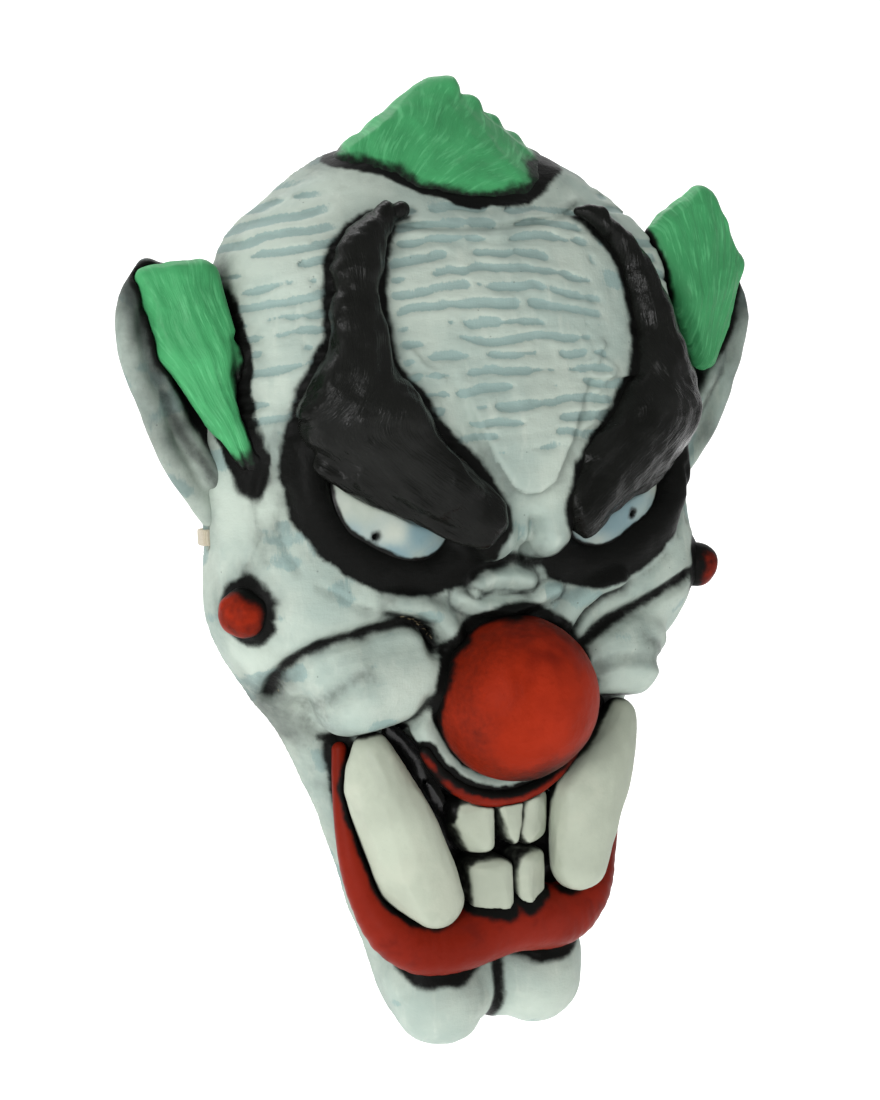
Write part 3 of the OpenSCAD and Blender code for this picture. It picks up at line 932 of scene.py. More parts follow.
def skin_paint(v):
    """Black airbrush, soft grey painted shade (partly the mask's own airbrushing), wash and raw latex at
    each point of the skin.
    """
    m = folded(v)
    rough = 0.9 * noise(v, 5, 3) + 0.5 * noise(v, 1.7, 6)
    clear, bright = np.ones(len(v), F32), np.ones(len(v), F32)

    def spray(d, full, fade, strength=1.0, ragged=0.6):
        nonlocal clear
        clear = clear * (1 - strength * step(full + fade, full, d + ragged * rough))

    # Painted shade: a soft grey darkening, partly the mask's own airbrushing, partly shade falling in
    # creases, round raised pieces and on surfaces turning away.
    def shade(d, width, strength):
        nonlocal bright
        bright = bright * (1 - strength * step(width, 0, d + 0.8 * rough))

    def line(points):
        return near_curve(m, points)

    crown = crown_shape(v)
    spray(crown, 1.6 + 1.6 * step(28, 6, np.abs(v[:, 0] - 2)), 2.0, 0.97)
    shade(crown, 15, 0.35)
    for s in SIDES:
        tuft = tuft_field(v, s)
        spray(tuft, 2.4, 2.4, 0.97)
        shade(tuft, 14, 0.4)
        brow = brow_shape(v, s)
        spray(brow, 0.8, 3.6, 1.0, 0.8)
        shade(brow, 9, 0.35)
        w = v * vec(s, 1, 1)
        e = flat_line(w, [(b[0], b[2]) for b in RING[s]])[0]
        bowl = np.maximum(ball(s * 48, -30, 14, 30)(v), -(v[:, 1] + 20))
        spray(np.minimum(e - 7.2, np.where(v[:, 2] < 30, bowl, 99)), 0.0, 2.6, 1.0, 0.7)
        shade(e - 7.2, 8, 0.35)
        spray(np.abs(socket(v, s)), 1.6, 1.0, 1.0, 0.3)
        wart = wart_field(v, s)
        spray(wart, 2.0, 3.6, 0.95, 1.2)
        shade(wart, 12, 0.4)
        fang = fang_field(v, s)
        spray(fang, 1.6, 2.6, 0.95)
        shade(fang, 9, 0.3)
        ear = chain([(88 * s, -4, z, 1) for z in (88, 60, 30, 4)])(v)
        shade(ear, 12, 0.35)
    nose = nose_field(v)
    below = step(-72, -60, v[:, 2])
    spray(nose, 0.1 + 1.7 * below + 1.6 * step(-62, -42, v[:, 2]), 1.4 + 1.4 * below, 0.97)
    shade(nose, 9, 0.35)
    lip = lower_lip_field(v)
    # Black and shade round the lower lip, wider beneath it: the mask's airbrush, with painted shadow under
    # the lip.
    under = step(-145, -156, v[:, 2])
    spray(lip, 1.8 + 2.4 * under, 3.4, 0.95)
    shade(lip, 9 + 6 * under, 0.4)
    spray(upper_lip_field(v), 0.9, 1.6, 1.0)
    spray(backing_field(v), 1.6, 2.2, 1.0)
    spray(ball(-85, -22, 20, 0)(v), 5.0, 4.0, 0.95)
    spray(ball(101, -19, 48, 0)(v), 3.0, 4.0, 0.9)
    e = np.where(v[:, 0] < 0, line(CHEEK_CREASE), near_curve(v, RIGHT_CREASE))
    spray(e, 0.4, 3.4, 0.92, 0.6)
    shade(e, 12, 0.36)
    shade(near_curve(v, RIGHT_SPLIT), 7, 0.42)
    shade(near_curve(v, [(-79, -50), (-78, -60), (-72, -70)]), 10, 0.5)
    e = line(CHEEK_BOTTOM)
    spray(e, 0.0, 3.0, 0.75, 0.5)
    shade(e, 9, 0.4)
    e = line(DIMPLE)
    spray(e, -2.0, 7.0, 0.5, 1.4)
    shade(e, 10, 0.3)
    spray(flat_line(m, UNDER_NASAL)[0], 0.0, 2.6, 0.75, 0.5)
    shade(np.abs(flat_line(m, NASAL_FOLD)[0] - 5), 4, 0.35)
    # Faint black and shade along the crease below the crown hair: painted shade of the ridge.
    e = near_curve(v, HAIR_CREASE)
    spray(e, -0.8, 1.6, 0.3, 0.3)
    shade(e, 7, 0.22)
    beyond = v_distance(v)
    low = step(44, 20, v[:, 2])
    spray(np.abs(beyond - 0.6), -0.6, 1.6, 0.3 * low, 0.3)
    shade(np.where(beyond > -0.5, beyond, 20), 7, 0.42 * low)
    cleft = np.abs(v[:, 0] + 0.8 * noise(v, 9, 3)) + 6 * step(-154, -146, v[:, 2])
    cleft = cleft + 20 * step(-140, -130, v[:, 2])
    spray(cleft, 0.8, 3.2, 0.93, 0.5)
    shade(cleft, 10, 0.3)
    for points in EYE_BAGS + SIDE_CREASES:
        e = line(points)
        spray(e, -0.6, 2.4, 0.35, 0.6)
        shade(e, 7, 0.2)
    # Black and shade at the feet of the folds above the nose: painted shadow of the folds.
    for points in (FOLD_ONE, FOLD_TWO):
        e = np.abs(flat_line(v, points)[0] - 4.6)
        spray(e, -0.2, 2.0, 0.55, 0.5)
        shade(e, 4, 0.25)
    root = [(-19, -12.5), (-9, -13.5), (0, -11.5), (9, -14), (20, -13)]
    e = flat_line(v, root)[0]
    spray(e, 0.6, 3.0, 0.85, 0.5)
    shade(e, 8, 0.35)
    notch = np.abs(v[:, 0] - 4.5) + 20 * step(2, 8, v[:, 2]) + 20 * step(-12, -18, v[:, 2])
    spray(notch, -0.6, 2.2, 0.35, 0.4)
    shade(notch, 6, 0.35)
    # Painted shade towards the back rim, on the sides of the head that turn away from the light.
    shade(-8 - v[:, 1], 10, 0.3)
    ink = (1 - clear) * step(1, -4, v[:, 1])
    # blue-grey wash left in the furrows and in soft patches
    patch = step(0.25, 0.85, fbm(v, (16, 16, 9), 3, 11)) * 0.75
    wash = np.clip(strokes(v) + patch * (1 - furrow_zone(v) * 0.8), 0, 1)
    raw = np.clip(step(2.0, 1.0, inner_wall(v, head_surface(v))) + step(-0.6, -0.1, v[:, 1]), 0, 1)
    keep = 1 - raw
    return {"ink": ink * keep, "wash": wash * keep, "raw": raw, "shade": (1 - bright) * keep}


def flow_paint(flow):
    """Flow coordinates as shares of FLOW_SPAN, for strokes that follow a form."""
    return {"across": flow[0] / FLOW_SPAN + 0.5, "along": flow[1] / FLOW_SPAN + 0.5}


def edge_paint(v, cutters, full, fade, strength, ragged=0.5):
    """Black spray on a piece near the fields in cutters."""
    ink = np.zeros(len(v), F32)
    rough = ragged * (noise(v, 4, 3) + 0.6 * noise(v, 1.6, 6))
    for c in cutters:
        a = strength * step(full + fade, full, c(v) + rough)
        ink = 1 - (1 - ink) * (1 - a)
    return ink


# ------------------------------------------------------------------ node materials


class Graph:
    """A new material, and short helpers to build its node graph."""

    def __init__(self, name):
        self.material = bpy.data.materials.new(name)
        self.material.use_nodes = True
        self.tree = self.material.node_tree
        self.tree.nodes.clear()
        self.shader = self.tree.nodes.new("ShaderNodeBsdfPrincipled")
        self.node("OutputMaterial", None, {"Surface": self.shader.outputs["BSDF"]})
        self.coord = self.node("TexCoord", "Object")

    def put(self, socket, v):
        """Sets a constant on a socket, or links another socket to it."""
        if isinstance(v, (int, float, tuple)):
            socket.default_value = v
        else:
            self.tree.links.new(v, socket)

    def node(self, kind, output, inputs=None, **settings):
        n = self.tree.nodes.new("ShaderNode" + kind)
        for key, v in settings.items():
            setattr(n, key, v)
        for key, v in (inputs or {}).items():
            self.put(n.inputs[key], v)
        return None if output is None else n.outputs[output]

    def finish(self, colour, roughness, normal=None, **inputs):
        """Puts values or sockets on the shader; an underscore in a name stands for a space."""
        inputs = {"Base_Color": colour, "Roughness": roughness, **inputs}
        if normal is not None:
            inputs["Normal"] = normal
        for key, v in inputs.items():
            self.put(self.shader.inputs[key.replace("_", " ")], v)
        return self.material

    def attr(self, name):
        return self.node("Attribute", "Fac", attribute_name=name)

    def flow(self, across, along):
        """Millimetres across and along a form, from the points' flow attributes."""
        x = self.math("MULTIPLY", self.attr("across"), FLOW_SPAN * across)
        y = self.math("MULTIPLY", self.attr("along"), FLOW_SPAN * along)
        return self.node("CombineXYZ", "Vector", {"X": x, "Y": y})

    def stretch(self, scale):
        return self.node("Mapping", "Vector", {"Scale": scale, "Vector": self.coord})

    def noise(self, scale, detail=3, rough=0.5, coord=None):
        inputs = {"Scale": scale, "Detail": detail, "Roughness": rough, "Vector": coord or self.coord}
        return self.node("TexNoise", "Fac", inputs)

    def voronoi(self, scale):
        return self.node("TexVoronoi", "Distance", {"Scale": scale, "Vector": self.coord})

    def wave(self, scale, distortion, direction):
        inputs = {"Scale": scale, "Distortion": distortion, "Vector": self.coord}
        return self.node("TexWave", "Fac", inputs, bands_direction=direction)

    def ramp(self, src, lo, hi, a=0.0, b=1.0):
        inputs = {"From Min": lo, "From Max": hi, "To Min": a, "To Max": b, "Value": src}
        return self.node("MapRange", "Result", inputs, interpolation_type="SMOOTHSTEP")

    def math(self, operation, a, b):
        return self.node("Math", 0, {0: a, 1: b}, operation=operation)

    def wobble(self, value, texture, size):
        """A value with a texture of -size / 2 to size / 2 on it."""
        return self.math("ADD", value, self.math("MULTIPLY", self.math("SUBTRACT", texture, 0.5), size))

    def mix(self, fac, a, b):
        n = self.tree.nodes.new("ShaderNodeMix")
        n.data_type = "RGBA"
        self.put(n.inputs["Factor"], fac)
        for key, v in (("A", a), ("B", b)):
            socket = next(i for i in n.inputs if i.name == key and i.type == "RGBA")
            self.put(socket, (*v, 1) if isinstance(v, tuple) else v)
        return next(o for o in n.outputs if o.type == "RGBA")

    def bump(self, height, distance, strength=1.0, normal=None):
        inputs = {"Strength": strength, "Distance": distance, "Height": height}
        return self.node("Bump", "Normal", {**inputs, "Normal": normal} if normal else inputs)


INK = (0.005, 0.0053, 0.0048)


def latex(
    name,
    colour,
    roughness=(0.34, 0.5),
    ink=False,
    streak=None,
    relief=0.00035,
    flow=False,
    ior=1.22,
    dark=0.74,
):
    """Painted latex: colour drift, pores, brush relief and an airbrushed black layer."""
    g = Graph(name)
    light = tuple(min(1, c * 1.18 + 0.004) for c in colour)
    deep = tuple(c * dark for c in colour)
    col = g.mix(g.ramp(g.noise(30, 4, 0.6), 0.36, 0.66), deep, light)
    col = g.mix(0.4, col, colour)
    col = g.mix(g.ramp(g.noise(420, 2, 0.6), 0.60, 0.72, 0, 0.25), col, deep)
    where = g.flow(1.0, 0.12) if flow else None
    if streak:
        st = g.noise(0.75, 3, 0.6, where) if flow else g.noise(streak[1], 3, 0.65)
        col = g.mix(g.ramp(st, 0.5, 0.7, 0, 0.75), col, streak[0])
    if ink:
        col = g.mix(g.ramp(g.wobble(g.attr("ink"), g.noise(520, 3, 0.6), 0.34), 0.06, 0.94), col, INK)
    normal = g.bump(g.noise(150, 3, 0.55), relief * 1.4, 0.5)
    if flow:
        normal = g.bump(g.noise(1.1, 3, 0.6, where), relief, 0.7, normal)
    normal = g.bump(g.noise(700, 3, 0.6), relief * 0.35, 0.5, normal)
    return g.finish(col, g.ramp(g.noise(60, 3, 0.6), 0.3, 0.7, *roughness), normal, IOR=ior)


def skin_material():
    """Pale sponged latex over blue-grey, with painted grey shade, the black airbrush and the raw yellow
    back.
    """
    g = Graph("skin_latex")
    pale, cool, light = (0.455, 0.525, 0.46), (0.35, 0.43, 0.385), (0.51, 0.57, 0.50)
    wash, dull = (0.26, 0.365, 0.345), (0.28, 0.32, 0.275)
    spot, painted_shade_grey = (0.06, 0.065, 0.06), (0.045, 0.055, 0.05)
    col = g.mix(g.ramp(g.noise(24, 4, 0.6), 0.36, 0.64), cool, pale)
    brush = g.noise(120, 3, 0.6, g.stretch((1.5, 1, 0.4)))
    col = g.mix(g.ramp(brush, 0.52, 0.72, 0, 0.5), col, light)
    comb = g.noise(620, 4, 0.7, g.stretch((1.7, 1, 0.35)))
    col = g.mix(g.ramp(g.wobble(g.attr("wash"), comb, 1.1), 0.3, 0.72, 0, 0.85), col, wash)
    dirt = g.noise(75, 5, 0.7, g.stretch((1, 1, 1.3)))
    col = g.mix(g.ramp(dirt, 0.58, 0.8, 0, 0.38), col, dull)
    col = g.mix(g.ramp(g.voronoi(130), 0.025, 0.06, 0.4, 0), col, spot)
    # Painted shade: the shade attribute darkens the skin towards a dark grey.
    col = g.mix(g.ramp(g.wobble(g.attr("shade"), g.noise(160, 4, 0.65), 0.35), 0.02, 1.0), col, painted_shade_grey)
    ink = g.ramp(g.wobble(g.attr("ink"), g.noise(480, 3, 0.65), 0.3), 0.05, 0.92)
    col = g.mix(ink, col, INK)
    amber = g.mix(g.ramp(g.noise(35, 4, 0.6), 0.35, 0.7), (0.46, 0.34, 0.17), (0.60, 0.50, 0.30))
    col = g.mix(g.attr("raw"), col, amber)
    rough = g.ramp(g.noise(70, 3, 0.6), 0.3, 0.7, 0.42, 0.58)
    rough = g.math("SUBTRACT", rough, g.math("MULTIPLY", ink, 0.1))
    normal = g.bump(g.noise(170, 4, 0.6, g.stretch((0.6, 1, 1.6))), 0.0007, 0.6)
    normal = g.bump(comb, 0.00016, 0.6, normal)
    normal = g.bump(g.noise(800, 3, 0.6), 0.00012, 0.6, normal)
    return g.finish(col, rough, normal, Specular_IOR_Level=g.ramp(ink, 0.0, 1.0, 0.5, 0.24), IOR=1.2)


def elastic_material():
    g = Graph("elastic_weave")
    weave = g.math("MULTIPLY", g.wave(900, 0.4, "Y"), g.wave(700, 0.6, "Z"))
    fuzz = g.noise(900, 3, 0.7)
    col = g.mix(g.ramp(weave, 0.1, 0.8), (0.50, 0.44, 0.32), (0.72, 0.67, 0.54))
    col = g.mix(g.ramp(fuzz, 0.5, 0.75, 0, 0.35), col, (0.40, 0.35, 0.26))
    return g.finish(col, 0.82, g.bump(fuzz, 0.0001, 0.6, g.bump(weave, 0.0003, 0.8)), Sheen_Weight=0.3)


def eye_material():
    g = Graph("eye_latex")
    broad = g.noise(60, 3, 0.6)
    col = g.mix(g.ramp(broad, 0.35, 0.65), (0.35, 0.40, 0.345), (0.45, 0.49, 0.425))
    tint = g.ramp(g.wobble(g.attr("tint"), g.noise(120, 3, 0.6), 0.5), 0.1, 0.9)
    col = g.mix(g.math("MULTIPLY", tint, 0.8), col, (0.125, 0.235, 0.275))
    col = g.mix(g.ramp(g.wobble(g.attr("ink"), g.noise(500, 3, 0.6), 0.3), 0.1, 0.9), col, INK)
    normal = g.bump(g.noise(300, 3, 0.6), 0.0002, 0.4)
    return g.finish(col, g.ramp(broad, 0.3, 0.7, 0.26, 0.38), normal, IOR=1.22)


def staple_material():
    g = Graph("staple_wire")
    scratch = g.noise(900, 3, 0.6, g.stretch((1, 6, 1)))
    col = g.mix(g.ramp(scratch, 0.4, 0.6), (0.46, 0.47, 0.48), (0.66, 0.67, 0.68))
    return g.finish(col, g.ramp(scratch, 0.3, 0.7, 0.25, 0.42), Metallic=1.0)


HAIR_STREAK, NOSE_STREAK = ((0.11, 0.44, 0.19), 90), ((0.14, 0.009, 0.004), 26)
LIP_STREAK, TOOTH_STREAK = ((0.11, 0.008, 0.004), 60), ((0.46, 0.495, 0.40), 55)
BROW_BLACK, TOOTH_PALE = (0.006, 0.0065, 0.0055), (0.395, 0.435, 0.35)
MATERIALS = {
    "skin": skin_material(),
    "hair": latex("hair_green", (0.055, 0.31, 0.115), ink=True, streak=HAIR_STREAK, flow=True),
    "brow": latex("brow_black", BROW_BLACK, (0.17, 0.27), relief=0.0006, flow=True, ior=1.2),
    "red": latex("nose_red", (0.30, 0.02, 0.0048), (0.4, 0.55), True, NOSE_STREAK, 0.0006, ior=1.12),
    "lip": latex("lip_red", (0.19, 0.0115, 0.0035), (0.36, 0.5), True, LIP_STREAK, ior=1.15),
    "gum": latex("gum_black", (0.007, 0.007, 0.007), (0.14, 0.28), ior=1.45),
    "tooth": latex("tooth_latex", TOOTH_PALE, (0.34, 0.48), True, TOOTH_STREAK, dark=0.88),
    "eye": eye_material(),
    "elastic": elastic_material(),
}


# ------------------------------------------------------------------ building the pieces


def on_skin(field, sink=1.0):
    """Keeps the part of a piece that stands out of the head, sunk a little into it."""
    return lambda p: smax(field(p), -(head_near(p) + sink), 0.8)


def minus(field, *cutters):
    """A piece with others cut out of it, each with its clearance."""

    def carved(p):
        d = field(p)
        for cutter, grow in cutters:
            d = smax(d, -(cutter(p) - grow), 0.6)
        return d

    return carved


def back_cut(field):
    return lambda p: smax(field(p), p[:, 1], 0.8)


def grown(field, by):
    return lambda p: field(p) - by


def layers(*inks):
    """Black layers sprayed one over another."""
    return 1 - reduce(lambda clear, ink: clear * (1 - ink), inks, 1)


def bounds_of(balls, extra=4):
    b = np.array(balls, float)
    return (b[:, :3] - b[:, 3:]).min(0) - extra, (b[:, :3] + b[:, 3:]).max(0) + extra


def sculpt(node, field, box, h, slot, paint=None):
    """A moulded piece, meshed from its field inside a box and painted."""
    lo, hi = (np.array(corner, float) for corner in box)
    hi[1] = min(hi[1], BEHIND_RIM)
    verts, quads = polygonise(field, lo, hi, h)
    ob = make_object(node + "_sculpt", verts, quads, paint(verts) if paint else None)
    ob.data.materials.append(MATERIALS[slot])
    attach(ob, "mask")
    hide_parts(node)


def crown_paint(v):
    return {"ink": edge_paint(v, [grown(head_near, 0.3)], 0.2, 2.4, 0.85), **flow_paint(crown_flow(v))}


def tuft_paint(v, side):
    ink = edge_paint(v, [grown(head_near, 0.3)], 0.3, 2.8, 0.95)
    if side < 0:
        e, t = flat_line(v, [(-89, 70), (-90, 56), (-88, 43), (-84, 32)])
        groove = 0.8 * step(4.0, 0.4, e + 0.6 * noise(v, 4, 2)) * step(0.0, 0.4, t)
        tip = step(9, 3, ball(-86, -24, 24, 0)(v)) * 0.6
        ink = layers(ink, groove, tip)
    return {"ink": ink, **flow_paint(tuft_flow(v, side))}


# black on the ear: a line, its darkness, where it starts to fade and how ragged it is
EAR_INK = [
    ([(104, 66), (104, 56), (101, 44), (94, 32)], 0.94, (6.0, 1.5), 1.2, (5, 4)),
    ([(112, 48), (106, 36), (98, 24), (92, 13)], 0.55, (3.4, 0.2), 0.6, (4, 4)),
    ([(119, 84), (117, 66), (113, 50)], 0.4, (2.6, 0.2), 0.8, (5, 2)),
]


def ear_paint(v, side):
    tuft = partial(tuft_field, side=side)
    w = v * vec(side, 1, 1)
    front = step(-4, -7, v[:, 1])
    inks = [edge_paint(v, [tuft], 0.9, 2.8, 0.97)]
    for points, dark, fade, ragged, grain in EAR_INK:
        e = near_curve(w, points)
        inks.append(dark * step(*fade, e + ragged * noise(v, *grain)) * front)
    raw = step(-1.2, -0.3, v[:, 1])
    keep = 1 - raw
    patch = step(0.1, 0.8, fbm(v, (12, 12, 9), 3, 15)) * 0.7
    # Painted shade over the whole ear, deeper beside the tuft: partly the mask's grey airbrushing, partly
    # the shade of the recessed ear.
    dim = 0.40 + 0.3 * noise(v, 12, 2) + 0.3 * step(12, 2, tuft(v))
    return {
        "ink": layers(*inks) * keep,
        "wash": (patch + 0.25) * keep,
        "raw": raw,
        "shade": np.clip(dim, 0, 1) * keep,
    }


def eye_paint(v, side):
    w = v * vec(side, 1, 1)
    ink = edge_paint(v, [grown(head_near, 0.2)], 0.2, 1.8, 1.0, 0.4)
    from_peep = np.sqrt((w[:, 0] - PEEP[0]) ** 2 + (w[:, 2] - PEEP[1]) ** 2)
    dot = step(3.6, 0.8, from_peep + 0.6 * noise(v, 2, 3))
    low = step(15, 2, w[:, 2] + 0.12 * (w[:, 0] - 50)) * (0.65 + 0.5 * noise(v, 9, 7))
    return {"ink": layers(ink, 0.8 * dot), "tint": low}


def wart_paint(v, side):
    ink = edge_paint(v, [grown(head_near, 0.2)], 0.2, 3.2, 0.95)
    x, z = v[:, 0] - side * F32(WART[0]), v[:, 2] - F32(WART[2])
    top = step(1.0, 7.5, z + 0.5 * x + 1.6 * noise(v, 4, 7))
    return {"ink": layers(ink, 0.85 * top, 0.22)}


def nose_paint(v):
    ink = edge_paint(v, [grown(head_near, 0.2)], 0.2, 2.4, 0.85)
    x, z = v[:, 0], v[:, 2] - NOSE[2]
    # Darker round the rim, the mask's black airbrush, and towards the lower right, painted shade where the
    # ball turns away from the light; the fbm term adds dark mottling.
    out = np.sqrt((x - 2) ** 2 + (z - 1) ** 2) / NOSE_R
    low = step(0.1, 1.0, (0.75 * (x - 4) - (z + 4)) / NOSE_R + 0.2 * noise(v, 15, 9))
    dim = 0.4 * step(0.6, 1.0, out + 0.16 * noise(v, 13, 5)) + 0.6 * low
    dim += 0.16 * step(0.2, 0.9, fbm(v, 11, 3, 21))
    return {"ink": layers(ink, np.clip(dim, 0, 1))}


fangs = [partial(fang_field, side=side) for side in SIDES]


def all_teeth(p):
    return reduce(np.minimum, (tooth_field(p, name) for name in TEETH))


def mouth_paint(cutters, *spray):
    return lambda v: {"ink": edge_paint(v, cutters, *spray)}


def tooth_paint(v, name):
    front = TEETH[name]
    face = v.copy()
    face[:, 1] = min(b[1] for b in front) + 6
    near = -hull(tooth_solid(name))(face)
    ink = 0.85 * step(1.7, 0.2, near + 0.4 * noise(v, 2.5, 4))
    deep = edge_paint(v, [grown(backing_field, 1.5)] + fangs, 0.4, 2.2, 0.95)
    return {"ink": layers(ink, deep)}


sculpt("face_skin", skin_field, ((-100, -66, -194), (100, 0, 135)), VOXEL, "skin", skin_paint)
box = ((-50, -32, 100), (56, 0, 164))
sculpt("crown_tuft", back_cut(on_skin(crown_field)), box, FINE, "hair", crown_paint)

cutters = [grown(head_near, 0.4), grown(backing_field, 1.0), lower_lip_field]
fang_paint = mouth_paint(cutters, 0.3, 3.0, 0.92)
for s, side in zip(SIDES, ("left", "right")):
    tuft, brow = partial(tuft_field, side=s), partial(brow_field, side=s)
    ear, wart, fang = partial(ear_field, side=s), partial(wart_field, side=s), partial(fang_field, side=s)

    lo, hi = bounds_of(sum(LEFT_TUFT if s < 0 else RIGHT_TUFT, []), 5)
    lo[2] = 16 if s < 0 else 40
    sculpt(f"side_tuft_{side}", on_skin(tuft), (lo, hi), FINE, "hair", partial(tuft_paint, side=s))

    box = bounds_of(flipped(s, EAR_RIM + [(*root, 3) for root in EAR_ROOT]), 3)
    shape = back_cut(on_skin(minus(ear, (tuft, 0.3))))
    sculpt(f"ear_{side}", shape, box, FINE * 1.2, "skin", partial(ear_paint, side=s))

    box = bounds_of(flipped(s, HORN[s] + BODY_OUTER[s] + BODY_INNER[s] + LID_EDGE[s]))
    paint = lambda v: flow_paint(brow_flow(v, s))
    sculpt(f"brow_{side}", on_skin(brow, 1.2), box, FINE * 1.1, "brow", paint)

    c = vec(s * EYE_C[0], EYE_C[1], EYE_C[2])
    shape = minus(lambda p: smax(eye_ball(p, s), -peep_hole(p, s), 0.5), (partial(brow_shape, side=s), 0.8))
    box = (c - EYE_R - 9, c + EYE_R + 9)
    sculpt(f"eye_{side}", on_skin(shape, 1.5), box, FINE, "eye", partial(eye_paint, side=s))

    c = vec(s * WART[0], WART[1], WART[2])
    sculpt(f"wart_{side}", on_skin(wart), (c - 12, c + 12), FINE * 0.7, "red", partial(wart_paint, side=s))

    box = bounds_of(flipped(s, FANG[s]))
    sculpt(f"fang_{side}", on_skin(minus(fang, (nose_field, 0.2))), box, FINE * 1.1, "tooth", fang_paint)

sculpt("nose_ball", on_skin(nose_field), ((-33, -75, -93), (33, 0, -29)), FINE * 1.1, "red", nose_paint)

clear_of_fangs = [(fang, 0.4) for fang in fangs]
shape = minus(upper_lip_field, (nose_field, 0.2), *clear_of_fangs)
cutters = [grown(head_near, 0.6), grown(backing_field, 1.0), grown(nose_field, 5.4)] + fangs
paint = mouth_paint(cutters, 0.8, 2.4, 0.95)
sculpt("upper_lip", on_skin(shape), bounds_of(UPPER_LIP, 3), FINE, "lip", paint)

shape = minus(lower_lip_field, *clear_of_fangs)
paint = mouth_paint([grown(backing_field, 1.2), all_teeth] + fangs, 1.0, 2.8, 1.0)
sculpt("lower_lip", on_skin(shape), bounds_of(LOWER_LIP, 3), FINE * 1.1, "lip", paint)

shape = on_skin(minus(backing_field, (nose_field, 0.2)), 0.6)
sculpt("mouth_backing", shape, ((-62, -28, -150), (62, 0, -70)), FINE * 1.5, "gum")

for name in TEETH:
    lo, hi = bounds_of(TEETH[name], 3)
    hi[1] += TOOTH_DEPTH
    shape = on_skin(minus(partial(tooth_field, name=name), (backing_field, -1.0)))
    shape = minus(shape, *clear_of_fangs, (upper_lip_field, 0.4), (lower_lip_field, 0.4))
    sculpt(name, shape, (lo, hi), FINE * 0.8, "tooth", partial(tooth_paint, name=name))


# ------------------------------------------------------------------ elastic


def ribbon(name, node, body, pts, across, width, thick):
    """A woven band along pts (mm), flat across the given direction, with rounded edges."""
    pts = [np.array(q, float) for q in pts]
    n = len(pts)
    m, flat_side, flat_face = 16, 0.35, 0.7
    section = []
    for k in range(m):
        t = 2 * math.pi * k / m
        c, s = math.cos(t), math.sin(t)
        a, b = math.copysign(abs(c) ** flat_side, c), math.copysign(abs(s) ** flat_face, s)
        section.append((a * width / 2, b * thick / 2))
    verts = []
    for i, q in enumerate(pts):
        t = pts[min(i + 1, n - 1)] - pts[max(i - 1, 0)]
        t /= np.linalg.norm(t)
        w = np.array(across, float)
        w -= w.dot(t) * t
        w /= np.linalg.norm(w)
        b = np.cross(t, w)
        verts += [tuple((q + a * w + c * b) * MM) for a, c in section]
    around = [(i * m + k, i * m + (k + 1) % m) for i in range(n - 1) for k in range(m)]
    quads = [(a, b, b + m, a + m) for a, b in around]
    caps = [tuple(range(m))[::-1], tuple((n - 1) * m + k for k in range(m))]
    me = bpy.data.meshes.new(name)
    me.from_pydata(verts, [], quads + caps)
    me.update()
    for f in me.polygons:
        f.use_smooth = len(f.vertices) == 4
    me.materials.append(MATERIALS["elastic"])
    ob = link_object(name, me)
    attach(ob, body)
    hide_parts(node)


STRAP_T, STRAP_W, STRAP_HALF, SAG, HINGE_Y = 1.3, 8.0, 90.0, 84.0, 5.0
LOOP_T, LOOP_W = 1.1, 5.6
HALF_STEPS = 48
fall = [i / HALF_STEPS for i in range(HALF_STEPS + 1)]
half_curve = [(-STRAP_HALF * (1 - t) ** 1.35, HINGE_Y, -SAG * (1 - (1 - t) ** 2.6)) for t in fall]
curve = half_curve + [(-x, y, z) for x, y, z in half_curve[-2::-1]]
ribbon("strap_band", "strap", "strap", curve, (0, 1, 0), STRAP_W, STRAP_T)

for s, side in zip(SIDES, ("left", "right")):
    inner, outer = 92.0, 97.1
    path = [(inner, 2.2, 0), (inner, -3.0, 0), (inner + 0.5, -4.6, 0), (94.4, -5.1, 0)]
    path += [(outer - 0.5, -4.6, 0), (outer, -3.4, 0), (outer, -0.6, 0), (outer - 0.5, 0.9, 0)]
    path += [(94.5, 1.5, 0), (inner + 0.2, 1.6, 0), (inner - 0.9, 0.2, 0), (inner - 0.9, -3.4, 0)]
    smooth = [(s * q[0], q[1], q[2]) for q in curve_points(path, 5)]
    ribbon(f"strap_loop_{side}", f"strap_end_{side}", "mask", smooth, (0, 0, 1), LOOP_W, LOOP_T)

staple_wire = staple_material()
for side in ("left", "right"):
    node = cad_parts[f"staple_{side}"]
    node.data.materials.clear()
    node.data.materials.append(staple_wire)

# ------------------------------------------------------------------ camera, light and stage

AZIMUTH, ELEVATION, ROLL = math.radians(-27.68), math.radians(6.43), math.radians(-2.17)
DISTANCE, FOCUS = 0.6667, (0.0, 0.00914, -0.01355)
level = math.cos(ELEVATION)
back = np.array([math.sin(AZIMUTH) * level, -math.cos(AZIMUTH) * level, math.sin(ELEVATION)])
right0 = np.array([math.cos(AZIMUTH), math.sin(AZIMUTH), 0.0])
up0 = np.cross(back, right0)
right = right0 * math.cos(ROLL) + up0 * math.sin(ROLL)
up = -right0 * math.sin(ROLL) + up0 * math.cos(ROLL)
cam_data = bpy.data.cameras.new("camera")
cam = link_object("camera", cam_data)
place = np.array(FOCUS) + DISTANCE * back
cam.matrix_world = Matrix([[right[i], up[i], back[i], place[i]] for i in range(3)] + [[0, 0, 0, 1]])
SENSOR, FOCAL_PIXELS, FRAME_PIXELS = 36.0, 1800, 1100
cam_data.sensor_width = SENSOR
cam_data.lens = SENSOR * FOCAL_PIXELS / FRAME_PIXELS
cam_data.clip_start, cam_data.clip_end = 0.01, 50
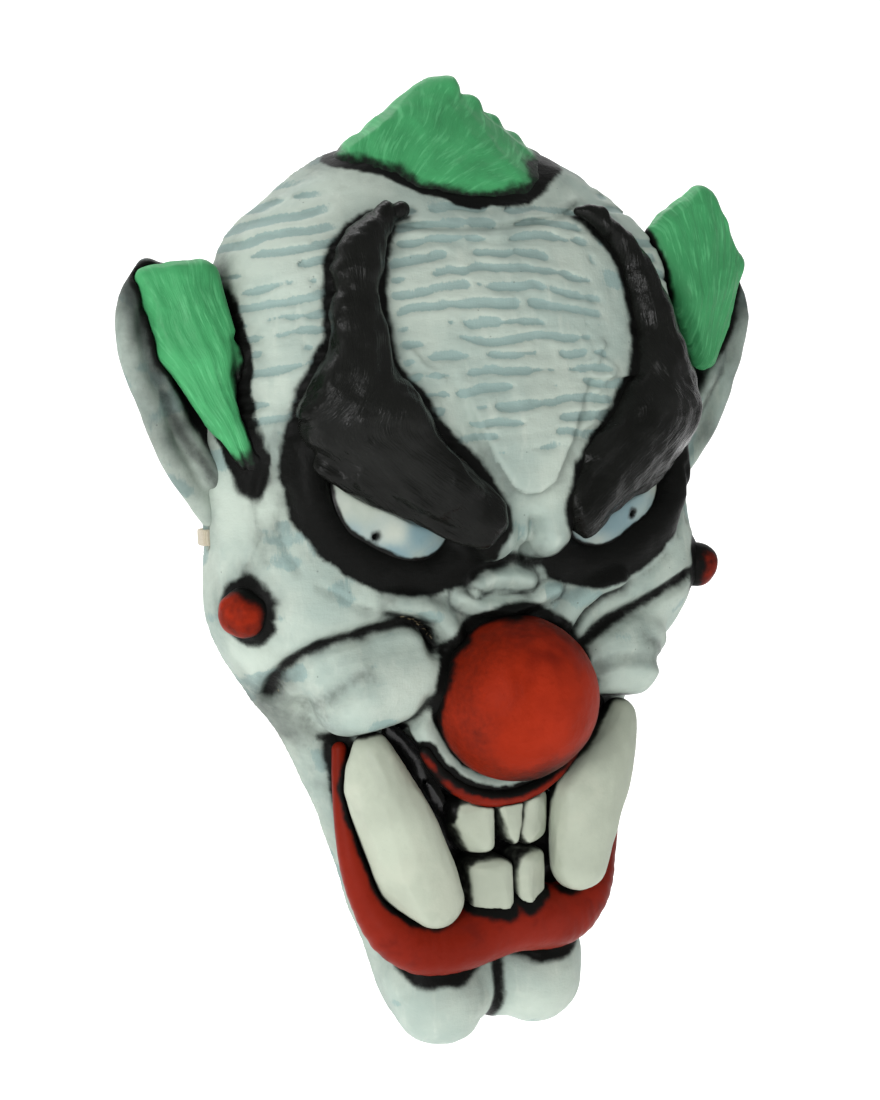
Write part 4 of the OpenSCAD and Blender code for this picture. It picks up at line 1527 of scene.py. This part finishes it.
bpy.context.scene.camera = cam


def stage_material():
    g = Graph("stage_white")
    col = g.mix(g.noise(3, 2, 0.5), (0.93, 0.93, 0.93), (0.95, 0.95, 0.95))
    glow = {"Emission_Color": (1, 1, 1, 1), "Emission_Strength": 0.42}
    return g.finish(col, 0.9, Specular_IOR_Level=0.1, **glow)


def stage():
    """A pale floor that curves up into a backdrop behind the mask."""
    floor_z, back_y, bend, half, steps = -0.36, 1.5, 0.8, 5.0, 24
    line = [(-6.0, floor_z), (back_y - bend, floor_z)]
    for i in range(1, steps + 1):
        t = math.pi / 2 * i / steps
        line.append((back_y - bend + bend * math.sin(t), floor_z + bend - bend * math.cos(t)))
    line.append((back_y, 5.0))
    verts = [(x, y, z) for y, z in line for x in (-half, half)]
    faces = [(2 * i, 2 * i + 1, 2 * i + 3, 2 * i + 2) for i in range(len(line) - 1)]
    me = bpy.data.meshes.new("stage")
    me.from_pydata(verts, [], faces)
    for f in me.polygons:
        f.use_smooth = True
    me.materials.append(stage_material())
    link_object("stage", me)


stage()


def area(name, loc, target, size, power):
    data = bpy.data.lights.new(name, "AREA")
    data.shape = "RECTANGLE"
    data.size, data.size_y = size
    data.energy = power
    ob = link_object(name, data)
    ob.location = loc
    d = (Matrix.Translation(target).translation - ob.location).normalized()
    ob.rotation_euler = d.to_track_quat("-Z", "Y").to_euler()


area("key", (-1.6, -1.35, 0.38), (0, 0, -0.02), (0.8, 0.7), 23)
area("fill", (1.5, -1.3, 0.5), (0, 0, -0.05), (1.4, 1.4), 1.2)
area("top", (0.0, 0.3, 1.9), (0, 0, 0), (1.6, 1.2), 2.5)
area("backdrop_light", (0.0, 0.9, 1.8), (0, 1.5, 0.1), (2.4, 0.6), 20)

world = bpy.data.worlds.new("studio")
bpy.context.scene.world = world
world.use_nodes = True
background = world.node_tree.nodes["Background"].inputs
background["Color"].default_value = (1, 1, 1, 1)
background["Strength"].default_value = 0.36
bpy.context.scene.view_settings.view_transform = "Standard"
bpy.context.scene.view_settings.look = "None"
